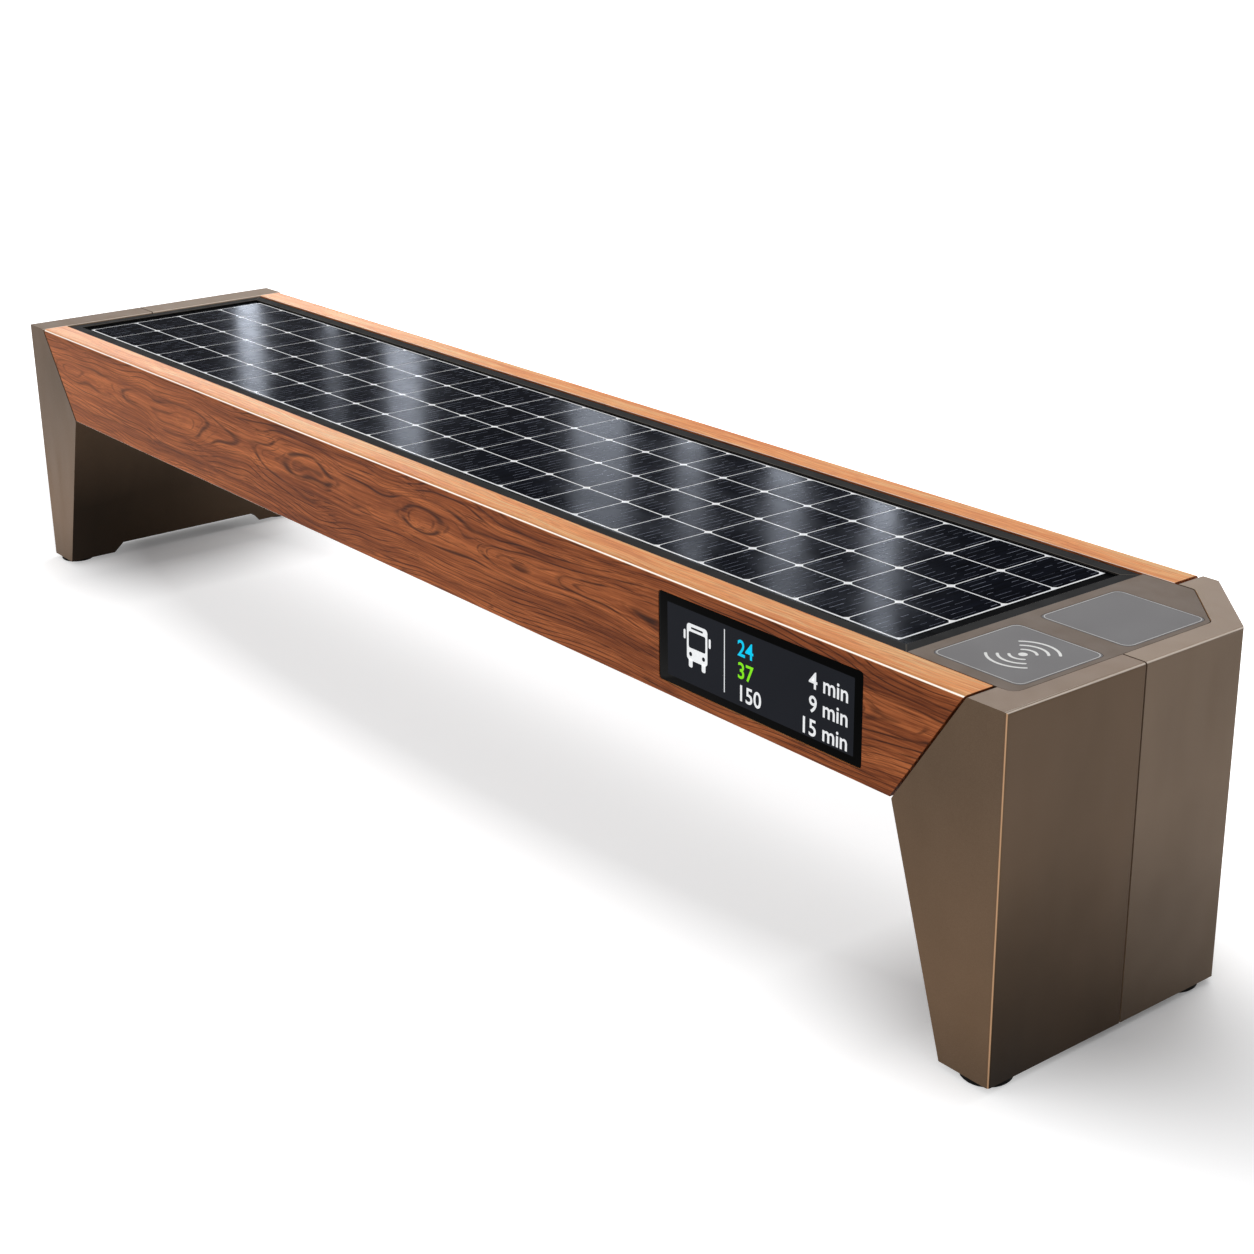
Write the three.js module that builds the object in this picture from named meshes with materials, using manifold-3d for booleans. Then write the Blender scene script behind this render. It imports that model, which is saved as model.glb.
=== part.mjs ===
// Solar charging bench, in millimetres, +Z up. The origin lies on the floor, midway between
// the bench's ends and midway between its front and rear faces. +X is the charging end and
// -Y is the front, where the display is.
//
// Inside a leg, an inset is a distance from the bench's end, measured towards its middle.

import * as THREE from "three";
import { mergeVertices } from "three/addons/utils/BufferGeometryUtils.js";
import Module from "manifold-3d";

const wasm = await Module();
wasm.setup();

// Driving dimensions

const bench = { length: 2400, depth: 490, height: 450 };

// Gap between faces that rest on each other, and how far a cut runs past what it cuts
const touch = 0.3;
const overrun = 6;

const beam = { thickness: 45, height: 152, topRadius: 7, edgeRadius: 3, mitreGap: 4 };

const leg = {
  topWidth: 56, waistWidth: 160, footWidth: 74, wall: 3, foldRadius: 4,
  seamSetback: 218, seamGap: 2.4, cheekWidth: 50, cheekGap: 2, lip: 6,
  flangeLap: 16, flangeSheet: 2,
  notchHeight: 18, notchFront: 72.5, notchRear: 76.5, notchSlope: 22,
};

// The rear corner of the charging end is cut away, and its shoulder takes the beam's end
const corner = { cutLength: 115, cutDepth: 105, shoulderWidth: 140 };

const foot = { radius: 30, height: 8, margin: 1.5, cornerSetback: 140, edgeRadius: 2,
  studRadius: 9, studHeight: 7, studClearance: 0.4 };

const legFrame = { basePlate: 8, headPlate: 10, rib: 8, ribOffset: 125, ribClearance: 1,
  windowRadius: 30, windowHeight: 215, headStart: 70, headInset: 10, headMargin: 4,
  riserShare: 0.45 };

const rail = { height: 60, width: 40, wall: 4, setback: 74, radius: 5 };

const crossMember = { size: 40, wall: 3, radius: 3, setback: 330, count: 4 };

const solar = {
  drop: 2, startGap: 1.9, endInset: 190, sideGap: 2, barHeight: 30, barWall: 3, lipWidth: 18.5,
  lipThickness: 2.5, ledgeWidth: 12, flangeWidth: 20, laminate: 5, mitreGap: 0.2, edgeGap: 0.6,
  boardMargin: 1.5,
};

const junctionBox = { length: 110, width: 72, height: 19, radius: 6, setback: 40, clearance: 2,
  glandRadius: 8, glandLength: 9 };

const deck = { strip: 34, reveal: 1.5, drop: 0.5, plate: 6, skirt: 3, radius: 14, innerRadius: 3,
  panelGap: 1.5 };

// The two pads share the deck between its front edge and its cut corner
const pad = { length: 130, thickness: 3, radius: 12, ledge: 6, reveal: 0.4, inset: 107,
  frontMargin: 18.5, gap: 35, cornerMargin: 1.3 };

const coil = { clearance: 8, boreShare: 0.41, thickness: 3.6, edgeRadius: 1.4 };

const ferrite = { lengthMargin: 3, widthMargin: 7, thickness: 3, radius: 5 };

const chargerHousing = { wall: 2.5, floor: 2, depth: 19, clearance: 1.5, postRadius: 5,
  postInset: 12, radius: 6, outletRadius: 4.5 };

const display = {
  length: 354, height: 115, radius: 5, fromEnd: 385, topDrop: 19, glass: 3, seal: 1.5,
  sealWidth: 6, housingDepth: 19, wall: 2.5, panel: 8, panelMargin: 2, reveal: 0.6, outlet: 9,
};

const battery = { length: 290, width: 186, height: 50, radius: 8, gap: 12, terminalRadius: 6,
  terminalHeight: 4, terminalInset: 25 };

const cradle = { sheet: 2, flange: 22, clearance: 3, endMargin: 14 };

const electronics = { gap: 30, toDisplay: 15, sheet: 2.5, flange: 29, rise: 3,
  grommetRadius: 9 };

const chargeController = { length: 180, width: 110, height: 34, fromStart: 40, offset: 40,
  finCount: 9, finHeight: 8, finShare: 0.5, radius: 4 };

const displayController = { length: 120, width: 76, height: 22, fromEnd: 20, sideGap: 39.9,
  radius: 4 };

const cover = { sheet: 2, clearance: 14, flangeLap: 10, legGap: 4, ventCount: 9,
  ventPitch: 22, ventLength: 150, ventWidth: 7 };

const hatch = { length: 660, lap: 10, sheet: 2.5, ribHeight: 7, ribWidth: 26, ribTop: 14,
  ribOffset: 60, frontLeg: 22, rearLeg: 24, swing: 9 };

const hinge = { radius: 5, boreRadius: 2.8, pinRadius: 2.4, headRadius: 4, headLength: 2,
  knuckle: 24, outerKnuckle: 18, gap: 0.5, leafWidth: 38, leafThickness: 2.5, webWidth: 7,
  endInset: 110, drop: 1.5 };

const lock = { endInset: 90, flangeRadius: 14, flange: 2, barrelRadius: 9.6,
  stemRadius: 5, clearance: 0.4, tongue: 3, tongueWidth: 13, tongueLength: 24, keyRadius: 3,
  keyDepth: 3, stemRecess: 0.6 };

const lead = { radius: 3.5, sides: 8, bend: 20, entryInset: 55 };

// Facets of round stretches, and how close two points are that are one
const facets = { round: 28, small: 16, curve: 4 };
const weld = 1e-4;

// Colours, roughness and metalness, as the bench shows them

const finishes = {
  wood: { color: 0x9a5530, roughness: 0.5, metalness: 0 },
  bronze: { color: 0x6b5e50, roughness: 0.42, metalness: 0.7 },
  deck: { color: 0x5a5048, roughness: 0.5, metalness: 0.5 },
  steel: { color: 0x8d9296, roughness: 0.5, metalness: 0.9 },
  blackMetal: { color: 0x17181a, roughness: 0.45, metalness: 0.6 },
  cells: { color: 0x141a28, roughness: 0.15, metalness: 0.1 },
  board: { color: 0xa9abad, roughness: 0.7, metalness: 0.2 },
  pad: { color: 0x5c5b5a, roughness: 0.55, metalness: 0.1 },
  copper: { color: 0xb36a38, roughness: 0.35, metalness: 1 },
  ferrite: { color: 0x2b2b2d, roughness: 0.8, metalness: 0.1 },
  glass: { color: 0x0b0c0f, roughness: 0.06, metalness: 0 },
  screen: { color: 0x1b1e26, roughness: 0.3, metalness: 0 },
  rubber: { color: 0x141414, roughness: 0.9, metalness: 0 },
  plastic: { color: 0x26282b, roughness: 0.6, metalness: 0 },
  battery: { color: 0x2f4257, roughness: 0.55, metalness: 0.05 },
  brightSteel: { color: 0xc4c7ca, roughness: 0.25, metalness: 1 },
};

// Planes that more than one piece meets

const halfLength = bench.length / 2;
const halfDepth = bench.depth / 2;
const beamBottom = bench.height - beam.height;
const beamInner = halfDepth - beam.thickness;
const frameTop = bench.height - solar.drop;
const frameBottom = frameTop - solar.barHeight;
const railTop = frameBottom - touch;
const railBottom = railTop - rail.height;
const railOuter = beamInner - touch;
const railInner = railOuter - rail.width;
const channelHalf = railInner - touch;
const seamY = leg.seamSetback - halfDepth;
const cheekY = halfDepth - leg.cheekWidth;
const shoulderStart = halfDepth - corner.cutDepth - deck.strip;
const deckTop = bench.height - deck.drop;
const lipReach = leg.topWidth + (leg.waistWidth - leg.topWidth) * leg.lip / beam.height;
const solarStart = lipReach + solar.startGap - halfLength;
const solarEnd = halfLength - solar.endInset;
const coverBottom = beamBottom + cover.clearance;
const coverTop = coverBottom + cover.sheet;
const coverFlangeTop = railBottom + cover.flangeLap;

// Places along the bench: the cross members, the batteries' cradle and the electronics plate

const crossSpacing = (bench.length - crossMember.setback * 2) / (crossMember.count - 1);
const batteriesHalf = battery.length + battery.gap / 2;
const cradleEnd = Math.max(crossSpacing / 2, batteriesHalf) + cradle.endMargin;
const displayX = halfLength - display.fromEnd;
const electronicsStart = Math.max(cradleEnd, (crossSpacing + crossMember.size) / 2) + electronics.gap;
const electronicsEnd = displayX - electronics.toDisplay;
const controllerEnd = electronicsStart + chargeController.fromStart + chargeController.length;

// The legs: -1 is the left one, 1 the one at the charging end

const leftEnd = -1;
const chargingEnd = 1;

// Solids and meshes

function solidOf(geometry) {
  const bare = geometry.index ? geometry.toNonIndexed() : geometry.clone();
  bare.deleteAttribute("normal");
  bare.deleteAttribute("uv");
  const merged = mergeVertices(bare, weld);
  return new wasm.Manifold(new wasm.Mesh({
    numProp: 3,
    vertProperties: new Float32Array(merged.attributes.position.array),
    triVerts: new Uint32Array(merged.index.array),
  }));
}

function geometryOf(solid) {
  const { vertProperties, triVerts } = solid.getMesh();
  const geometry = new THREE.BufferGeometry();
  geometry.setAttribute("position", new THREE.BufferAttribute(vertProperties, 3));
  geometry.setIndex(new THREE.BufferAttribute(triVerts, 1));
  geometry.computeVertexNormals();
  return geometry;
}

function meshOf(name, solid, finish, place = [0, 0, 0]) {
  const mesh = new THREE.Mesh(geometryOf(solid), new THREE.MeshStandardMaterial(finishes[finish]));
  mesh.name = name;
  mesh.position.set(...place);
  return mesh;
}

function groupOf(place, meshes) {
  const group = new THREE.Group();
  group.position.set(...place);
  group.add(...meshes);
  return group;
}

// Bases for outlines: drawn as (y, z) and pulled along x, as (x, z) along y, as (x, y) along z

const unitX = new THREE.Vector3(1, 0, 0);
const unitY = new THREE.Vector3(0, 1, 0);
const unitZ = new THREE.Vector3(0, 0, 1);
const alongX = new THREE.Matrix4().makeBasis(unitY, unitZ, unitX);
const alongY = new THREE.Matrix4().makeBasis(unitX, unitZ, unitY.clone().negate());

function prism(axis, outline, from, to) {
  const shape = outline instanceof THREE.Shape ? outline : shapeOf(outline);
  const geometry = new THREE.ExtrudeGeometry(shape, {
    depth: to - from, bevelEnabled: false, curveSegments: facets.curve,
  });
  if (axis === "x") geometry.applyMatrix4(alongX).translate(from, 0, 0);
  if (axis === "y") geometry.applyMatrix4(alongY).translate(0, to, 0);
  if (axis === "z") geometry.translate(0, 0, from);
  return solidOf(geometry);
}

function block([x0, x1], [y0, y1], [z0, z1]) {
  const geometry = new THREE.BoxGeometry(x1 - x0, y1 - y0, z1 - z0);
  return solidOf(geometry.translate((x0 + x1) / 2, (y0 + y1) / 2, (z0 + z1) / 2));
}

function rod(axis, radius, from, to, [a, b] = [0, 0], sides = facets.small) {
  const geometry = new THREE.CylinderGeometry(radius, radius, to - from, sides);
  const middle = (from + to) / 2;
  if (axis === "x") geometry.rotateZ(Math.PI / 2).translate(middle, a, b);
  if (axis === "y") geometry.translate(a, middle, b);
  if (axis === "z") geometry.rotateX(Math.PI / 2).translate(a, b, middle);
  return solidOf(geometry);
}

// A revolved profile of (radius, height) points, turned to stand along z

function turned(points, sides = facets.round) {
  const profile = points.map(([radius, height]) => new THREE.Vector2(radius, height));
  return solidOf(new THREE.LatheGeometry(profile, sides).rotateX(Math.PI / 2));
}

function unionOf(solids) {
  return solids.reduce((whole, solid) => whole.add(solid));
}

function shapeOf(points) {
  return new THREE.Shape(points.map(([a, b]) => new THREE.Vector2(a, b)));
}

// An outline with each corner rounded by its own radius, or by the one given for all

function roundedShape(points, radii) {
  const shape = new THREE.Shape();
  points.forEach((point, i) => {
    const vertex = new THREE.Vector2(...point);
    const before = new THREE.Vector2(...points.at(i - 1)).sub(vertex);
    const after = new THREE.Vector2(...points[(i + 1) % points.length]).sub(vertex);
    const wanted = Array.isArray(radii) ? radii[i] : radii;
    const half = Math.abs(before.angleTo(after)) / 2;
    const reach = Math.min(wanted / Math.tan(half), before.length() / 2, after.length() / 2);
    const start = before.setLength(reach).add(vertex);
    const end = after.setLength(reach).add(vertex);
    if (i === 0) shape.moveTo(start.x, start.y);
    else shape.lineTo(start.x, start.y);
    if (reach > 0) shape.quadraticCurveTo(vertex.x, vertex.y, end.x, end.y);
  });
  shape.closePath();
  return shape;
}

function rectangle(length, width, [a, b] = [0, 0]) {
  const [halfA, halfB] = [length / 2, width / 2];
  return [[a - halfA, b - halfB], [a + halfA, b - halfB], [a + halfA, b + halfB], [a - halfA, b + halfB]];
}

function roundedRectangle(length, width, radius, middle = [0, 0]) {
  return roundedShape(rectangle(length, width, middle), radius);
}

// A convex outline drawn in: edge i, from point i to the next, moves in by distances[i]

function drawnIn(points, distances) {
  const count = points.length;
  const at = (i) => new THREE.Vector2(...points[(i + count) % count]);
  const turn = Math.sign(THREE.ShapeUtils.area(points.map(([x, y]) => new THREE.Vector2(x, y))));
  const edges = points.map((_, i) => {
    const along = at(i + 1).sub(at(i)).normalize();
    const inward = new THREE.Vector2(-along.y, along.x).multiplyScalar(turn);
    const distance = Array.isArray(distances) ? distances[i] : distances;
    return { start: at(i).addScaledVector(inward, distance), along };
  });
  return edges.map((edge, i) => {
    const last = edges.at(i - 1);
    const between = edge.start.clone().sub(last.start);
    const share = between.cross(edge.along) / last.along.cross(edge.along);
    const point = last.start.clone().addScaledVector(last.along, share);
    return [point.x, point.y];
  });
}

// The legs' outlines, in insets

function lineAt([widthTop, zTop], [widthLow, zLow], z) {
  return widthTop + (widthLow - widthTop) * (zTop - z) / (zTop - zLow);
}

function legWidth(z) {
  return lineAt([leg.waistWidth, beamBottom], [leg.footWidth, foot.height], z);
}

function legOutline(topWidth, bottom = foot.height) {
  return [
    [0, bottom],
    [legWidth(bottom), bottom],
    [leg.waistWidth, beamBottom],
    [topWidth, bench.height],
    [0, bench.height],
  ];
}

// The leg seen from above, from its outer end to the given inset, with the rear corner cut

function planOutline(end, inner) {
  const front = [[0, -halfDepth], [inner, -halfDepth], [inner, halfDepth]];
  if (end === leftEnd) return [...front, [0, halfDepth]];
  return [...front, [corner.cutLength, halfDepth], [0, halfDepth - corner.cutDepth]];
}

// Distances for drawnIn, in the order of planOutline's edges

function planDistances(end, { front, inner, rear, outer }) {
  if (end === leftEnd) return [front, inner, rear, outer];
  return [front, inner, rear, outer, outer];
}

function evenly(end, distance) {
  return planDistances(end, { front: distance, inner: 0, rear: distance, outer: distance });
}

// Insets become x, counted from the leg's outer end towards the middle of the bench

function placed(end, points) {
  return points.map(([inset, other]) => [-end * inset, other]);
}

function span(end, near, far) {
  return [-end * near, -end * far].sort((a, b) => a - b);
}

function topWidthAt(end, rearSide) {
  return end === chargingEnd && rearSide ? corner.shoulderWidth : leg.topWidth;
}

// Legs

// A leg's folds and its plan, on faces drawn in by the given distance

function foldAt(drawn) {
  return Math.max(leg.foldRadius - drawn, touch);
}

function legPlan(end, drawn) {
  const plan = drawnIn(planOutline(end, leg.waistWidth + overrun * 2), evenly(end, drawn));
  return roundedShape(placed(end, plan), foldAt(drawn));
}

// A leg's volume, drawn in on every face; an open bottom runs down past the leg's own

function legVolume(end, drawn, bottom) {
  const fold = foldAt(drawn);
  const side = (topWidth) => roundedShape(placed(end, drawnIn(legOutline(topWidth, bottom), drawn)), [
    0, 0, fold, fold, fold,
  ]);
  const main = prism("y", side(leg.topWidth), drawn - halfDepth, halfDepth - drawn);
  const shoulder = prism("y", side(topWidthAt(end, true)), shoulderStart + drawn, halfDepth - drawn);
  const [low, high] = [bottom - overrun, bench.height + overrun];
  return main.add(shoulder).intersect(prism("z", legPlan(end, drawn), low, high));
}

function deckOutline(grow) {
  const side = beam.thickness + deck.reveal - grow;
  const distances = planDistances(chargingEnd, {
    front: side, inner: deck.panelGap - grow, rear: side, outer: deck.strip - grow,
  });
  return placed(chargingEnd, drawnIn(planOutline(chargingEnd, solar.endInset), distances));
}

function deckShape(grow) {
  const [outer, inner] = [deck.radius + grow, Math.max(deck.innerRadius + grow, 0)];
  return roundedShape(deckOutline(grow), [outer, inner, inner, outer, outer]);
}

// The way into the leg between the beams, for the rails, and at the charging end for the deck.
// It leaves the outer walls whole.

function railWindow(end) {
  const heights = [beamBottom, bench.height - leg.lip];
  const opening = block(
    span(end, leg.topWidth, leg.waistWidth + overrun),
    [-beamInner, beamInner],
    heights,
  );
  const way = opening.intersect(prism("z", legPlan(end, leg.wall), ...heights));
  if (end === leftEnd) return way;
  const deckWay = prism("z", deckShape(deck.reveal), frameBottom - overrun, bench.height + overrun);
  return way.add(deckWay);
}

// Where a leg's feet stand

function footSpots(end) {
  const inset = foot.radius + foot.margin;
  const rearSetback = end === chargingEnd ? foot.cornerSetback : inset;
  return [inset - halfDepth, halfDepth - rearSetback].map((y) => [-end * inset, y]);
}

// The notch between a leg's feet, its sides measured from the feet's middles. It goes right
// through the left leg, but not through the outer face of the charging end.

const notchTop = foot.height + leg.notchHeight;

function notchSides(end) {
  const [frontFoot, rearFoot] = footSpots(end);
  return [frontFoot[1] + leg.notchFront, rearFoot[1] - leg.notchRear];
}

function baseNotch(end) {
  const [front, rear] = notchSides(end);
  const outline = [
    [front - leg.notchSlope, foot.height - overrun],
    [rear + leg.notchSlope, foot.height - overrun],
    [rear, notchTop],
    [front, notchTop],
  ];
  const start = end === leftEnd ? -overrun : leg.footWidth / 2;
  return prism("x", outline, ...span(end, start, leg.waistWidth + overrun));
}

function legSkin(end) {
  const inside = legVolume(end, leg.wall, foot.height - overrun * 2);
  return legVolume(end, 0, foot.height)
    .subtract(inside)
    .subtract(railWindow(end))
    .subtract(baseNotch(end));
}

// The front shell takes the front face, the near part of the end and most of the inner face

function frontZone(end, gapShare) {
  const [low, high] = [foot.height - overrun, bench.height + overrun];
  const far = leg.waistWidth + overrun * 3;
  const innerFace = placed(end, [
    [legWidth(low) - leg.wall * 2, low],
    [far, low],
    [far, beamBottom],
    [leg.waistWidth - leg.wall * 2, beamBottom],
  ]);
  const seam = seamY + gapShare * leg.seamGap;
  const cheek = cheekY + gapShare * leg.cheekGap;
  return block(span(end, -overrun, far), [-halfDepth - overrun, seam], [low, high])
    .add(prism("y", innerFace, -halfDepth - overrun, cheek));
}

const frontSideShare = -0.5;
const rearSideShare = 0.5;

// The front shell's flange closes the seam from behind, down the end face and across the top

function seamFlange(end) {
  const near = leg.wall + touch;
  const far = near + leg.flangeSheet;
  const lap = [seamY - leg.flangeLap, seamY + leg.flangeLap];
  const welded = [lap[0], seamY + frontSideShare * leg.seamGap];
  const low = notchTop + touch * 2 + legFrame.basePlate;
  const high = bench.height - near;
  const reach = (end === chargingEnd ? deck.strip : leg.topWidth) - leg.lip;
  const upright = block(span(end, near, far), lap, [low, high]);
  const across = block(span(end, near, reach), lap, [high - leg.flangeSheet, high]);
  const uprightWeld = block(span(end, leg.wall / 2, far), welded, [low, high]);
  const acrossWeld = block(span(end, near, reach), welded, [high - leg.flangeSheet, high + leg.wall / 2]);
  return unionOf([upright, across, uprightWeld, acrossWeld]);
}

function frontShell(name, end) {
  const shell = legSkin(end).intersect(frontZone(end, frontSideShare));
  return meshOf(name, shell.add(seamFlange(end)), "bronze");
}

function rearShell(name, end) {
  return meshOf(name, legSkin(end).subtract(frontZone(end, rearSideShare)), "bronze");
}

function rubberFoot(name, [x, y]) {
  const profile = [
    [0, 0],
    [foot.radius - foot.edgeRadius, 0],
    [foot.radius, foot.edgeRadius],
    [foot.radius - foot.edgeRadius / 2, foot.height],
    [foot.studRadius, foot.height],
    [foot.studRadius, foot.height + foot.studHeight],
    [0, foot.height + foot.studHeight],
  ];
  return meshOf(name, turned(profile), "rubber", [x, y, 0]);
}

// A welded frame of a base plate that steps over the notch, two ribs and a head plate that
// the rails rest on

const frameReach = leg.waistWidth - legFrame.headInset;

function steppedPlate(end, low, high) {
  const sheet = legFrame.basePlate;
  const riser = sheet * legFrame.riserShare;
  const [notchStart, notchEnd] = notchSides(end);
  const [highFront, highRear] = [notchStart - touch, notchEnd + touch];
  const [lowFront, lowRear] = [highFront - leg.notchSlope, highRear + leg.notchSlope];
  const outline = [
    [-halfDepth, low],
    [lowFront, low],
    [highFront, high],
    [highRear, high],
    [lowRear, low],
    [halfDepth, low],
    [halfDepth, low + sheet],
    [lowRear + riser, low + sheet],
    [highRear + riser, high + sheet],
    [highFront - riser, high + sheet],
    [lowFront - riser, low + sheet],
    [-halfDepth, low + sheet],
  ];
  const way = [[lowFront, low - overrun], [lowRear, low - overrun], [highRear, high], [highFront, high]];
  const across = span(end, -overrun, leg.waistWidth + overrun);
  return { plate: prism("x", outline, ...across), way: prism("x", way, ...across) };
}

function weldedFrame(name, end) {
  const base = foot.height + touch;
  const baseTop = base + legFrame.basePlate;
  const headTop = railBottom - touch;
  const headBottom = headTop - legFrame.headPlate;
  const fitted = legVolume(end, leg.wall + touch, foot.height - overrun * 2);
  const { plate, way } = steppedPlate(end, base, notchTop + touch);
  const ribVolume = legVolume(end, leg.wall + legFrame.ribClearance, foot.height - overrun * 2);
  const ribs = [-legFrame.ribOffset, legFrame.ribOffset].map((y) => {
    const slice = [y - legFrame.rib / 2, y + legFrame.rib / 2];
    const window = rod("y", legFrame.windowRadius, slice[0] - overrun, slice[1] + overrun,
      [-end * legWidth(legFrame.windowHeight) / 2, legFrame.windowHeight], facets.round);
    const extent = block(span(end, -overrun, frameReach), slice, [base, headTop]);
    return ribVolume.intersect(extent).subtract(window).subtract(way);
  });
  const headHalf = beamInner - legFrame.headMargin;
  const head = block(
    span(end, legFrame.headStart, frameReach),
    [-headHalf, headHalf],
    [headBottom, headTop],
  );
  const holes = footSpots(end).map((spot) => rod("z", foot.studRadius + foot.studClearance,
    base - overrun, baseTop + overrun, spot, facets.round));
  const joined = unionOf([fitted.intersect(plate), ...ribs, head]);
  return meshOf(name, joined.subtract(unionOf(holes)), "bronze");
}

function legGroup(side, end) {
  const [front, rear] = footSpots(end);
  return groupOf([end * halfLength, 0, 0], [
    frontShell(`${side}_front_shell`, end),
    rearShell(`${side}_rear_shell`, end),
    weldedFrame(`${side}_leg_frame`, end),
    rubberFoot(`${side}_front_foot`, front),
    rubberFoot(`${side}_rear_foot`, rear),
  ]);
}

// Wood beams

function mitredOutline(rearSide) {
  const [high, low] = [bench.height + overrun, beamBottom - overrun];
  const edge = (end, z) => {
    const top = topWidthAt(end, rearSide) + beam.mitreGap;
    const width = lineAt([top, bench.height], [leg.waistWidth + beam.mitreGap, beamBottom], z);
    return [end * (halfLength - width), z];
  };
  return [edge(leftEnd, high), edge(leftEnd, low), edge(chargingEnd, low), edge(chargingEnd, high)];
}

// The outer top edge has the larger rounding; side is -1 at the front and 1 at the rear

function woodBeam(side) {
  const outline = [
    [side * beamInner, beamBottom],
    [side * halfDepth, beamBottom],
    [side * halfDepth, bench.height],
    [side * beamInner, bench.height],
  ];
  const radii = [beam.edgeRadius / 2, beam.edgeRadius, beam.topRadius, beam.edgeRadius / 2];
  const bar = prism("x", roundedShape(outline, radii), -halfLength, halfLength);
  return bar.intersect(prism("y", mitredOutline(side > 0), -halfDepth - overrun, halfDepth + overrun));
}

const displayMiddle = [displayX, bench.height - display.topDrop - display.height / 2];
const displayPocket = display.glass + display.seal + display.housingDepth + touch * 3;

function frontBeam() {
  const pocket = prism("y",
    roundedRectangle(display.length + display.reveal * 2, display.height + display.reveal * 2,
      display.radius + display.reveal, displayMiddle),
    -halfDepth - overrun, -halfDepth + displayPocket);
  const outlet = leadWay(-halfDepth, -beamInner + overrun);
  return meshOf("front_beam", woodBeam(-1).subtract(pocket).subtract(outlet), "wood");
}

// The hole for the display's lead through the beam and the front rail

const leadHeight = (railTop + railBottom) / 2;

function leadWay(from, to) {
  return rod("y", display.outlet, from, to, [displayMiddle[0], leadHeight]);
}

// Rails and cross members

function squareTube(axis, length, [width, height], wall, radius) {
  const shape = roundedRectangle(width, height, radius);
  const inner = roundedRectangle(width - wall * 2, height - wall * 2, Math.max(radius - wall, touch));
  shape.holes.push(inner);
  return prism(axis, shape, -length / 2, length / 2);
}

function rails() {
  const length = bench.length - rail.setback * 2;
  const tube = squareTube("x", length, [rail.width, rail.height], rail.wall, rail.radius);
  const middle = (railInner + railOuter) / 2;
  const way = leadWay(-rail.width, rail.width).translate([0, 0, -leadHeight]);
  return [
    meshOf("front_rail", tube.subtract(way), "steel", [0, -middle, leadHeight]),
    meshOf("rear_rail", tube, "steel", [0, middle, leadHeight]),
  ];
}

function crossMembers() {
  const { size, wall, radius, count } = crossMember;
  const tube = squareTube("y", channelHalf * 2, [size, size], wall, radius);
  return Array.from({ length: count }, (_, i) => {
    const x = (i - (count - 1) / 2) * crossSpacing;
    return meshOf(`cross_member_${i + 1}`, tube, "steel", [x, 0, railTop - size / 2]);
  });
}

// Solar module, with its origin under its middle, level with the frame's bottom

const solarLength = solarEnd - solarStart;
const solarWidth = (beamInner - solar.sideGap) * 2;
const grooveTop = solar.barHeight - solar.lipThickness;
const ledgeTop = grooveTop - solar.laminate - touch * 2;

// One bar of the frame: outer face at zero, mitred so that each end is drawn in with its depth

function frameBar(length) {
  const { barHeight, barWall, lipWidth, lipThickness, ledgeWidth, flangeWidth } = solar;
  const outline = [
    [0, 0],
    [flangeWidth, 0],
    [flangeWidth, lipThickness],
    [barWall, lipThickness],
    [barWall, ledgeTop - lipThickness],
    [ledgeWidth, ledgeTop - lipThickness],
    [ledgeWidth, ledgeTop],
    [barWall, ledgeTop],
    [barWall, grooveTop],
    [lipWidth, grooveTop],
    [lipWidth, barHeight],
    [0, barHeight],
  ];
  const bar = prism("x", outline, -length / 2, length / 2);
  const end = length / 2 - solar.mitreGap;
  const reach = flangeWidth + overrun;
  const mitre = [[-end, 0], [end, 0], [end - reach, reach], [reach - end, reach]];
  return bar.intersect(prism("z", mitre, -overrun, barHeight + overrun));
}

function frameBars() {
  const long = frameBar(solarLength);
  const short = frameBar(solarWidth);
  const quarter = Math.PI / 2;
  const bars = [
    ["panel_frame_front", long, [0, -solarWidth / 2], 0],
    ["panel_frame_right", short, [solarLength / 2, 0], quarter],
    ["panel_frame_rear", long, [0, solarWidth / 2], quarter * 2],
    ["panel_frame_left", short, [-solarLength / 2, 0], quarter * 3],
  ];
  return bars.map(([name, bar, [x, y], angle]) => {
    const mesh = meshOf(name, bar, "blackMetal", [x, y, 0]);
    mesh.rotation.z = angle;
    return mesh;
  });
}

function solarLaminate() {
  const inset = (solar.barWall + solar.edgeGap) * 2;
  const sheet = prism("z", rectangle(solarLength - inset, solarWidth - inset), 0, solar.laminate);
  return meshOf("solar_laminate", sheet, "cells", [0, 0, ledgeTop + touch]);
}

// The junction box stands over the charge controller's end
const junctionPlace = [controllerEnd - (solarStart + solarEnd) / 2, junctionBox.setback];

function supportBoard() {
  const inset = (solar.flangeWidth + solar.boardMargin) * 2;
  const board = prism("z", rectangle(solarLength - inset, solarWidth - inset), 0, ledgeTop);
  const { length, width, clearance } = junctionBox;
  const cutOut = prism("z",
    rectangle(length + clearance * 2, width + clearance * 2, junctionPlace),
    -overrun, ledgeTop + overrun);
  return meshOf("support_board", board.subtract(cutOut), "board");
}

function junctionBoxMesh() {
  const { length, width, height, radius, glandRadius, glandLength } = junctionBox;
  const body = prism("z", roundedRectangle(length, width, radius), 0, height);
  const gland = rod("z", glandRadius, -glandLength, height / 2, [0, 0]);
  const top = ledgeTop - height;
  return meshOf("junction_box", body.add(gland), "plastic", [...junctionPlace, top]);
}

function solarGroup() {
  const place = [(solarStart + solarEnd) / 2, 0, frameBottom];
  return groupOf(place, [...frameBars(), solarLaminate(), supportBoard(), junctionBoxMesh()]);
}

// Charging deck, with its origin at the end of the bench, level with the deck's top

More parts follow.
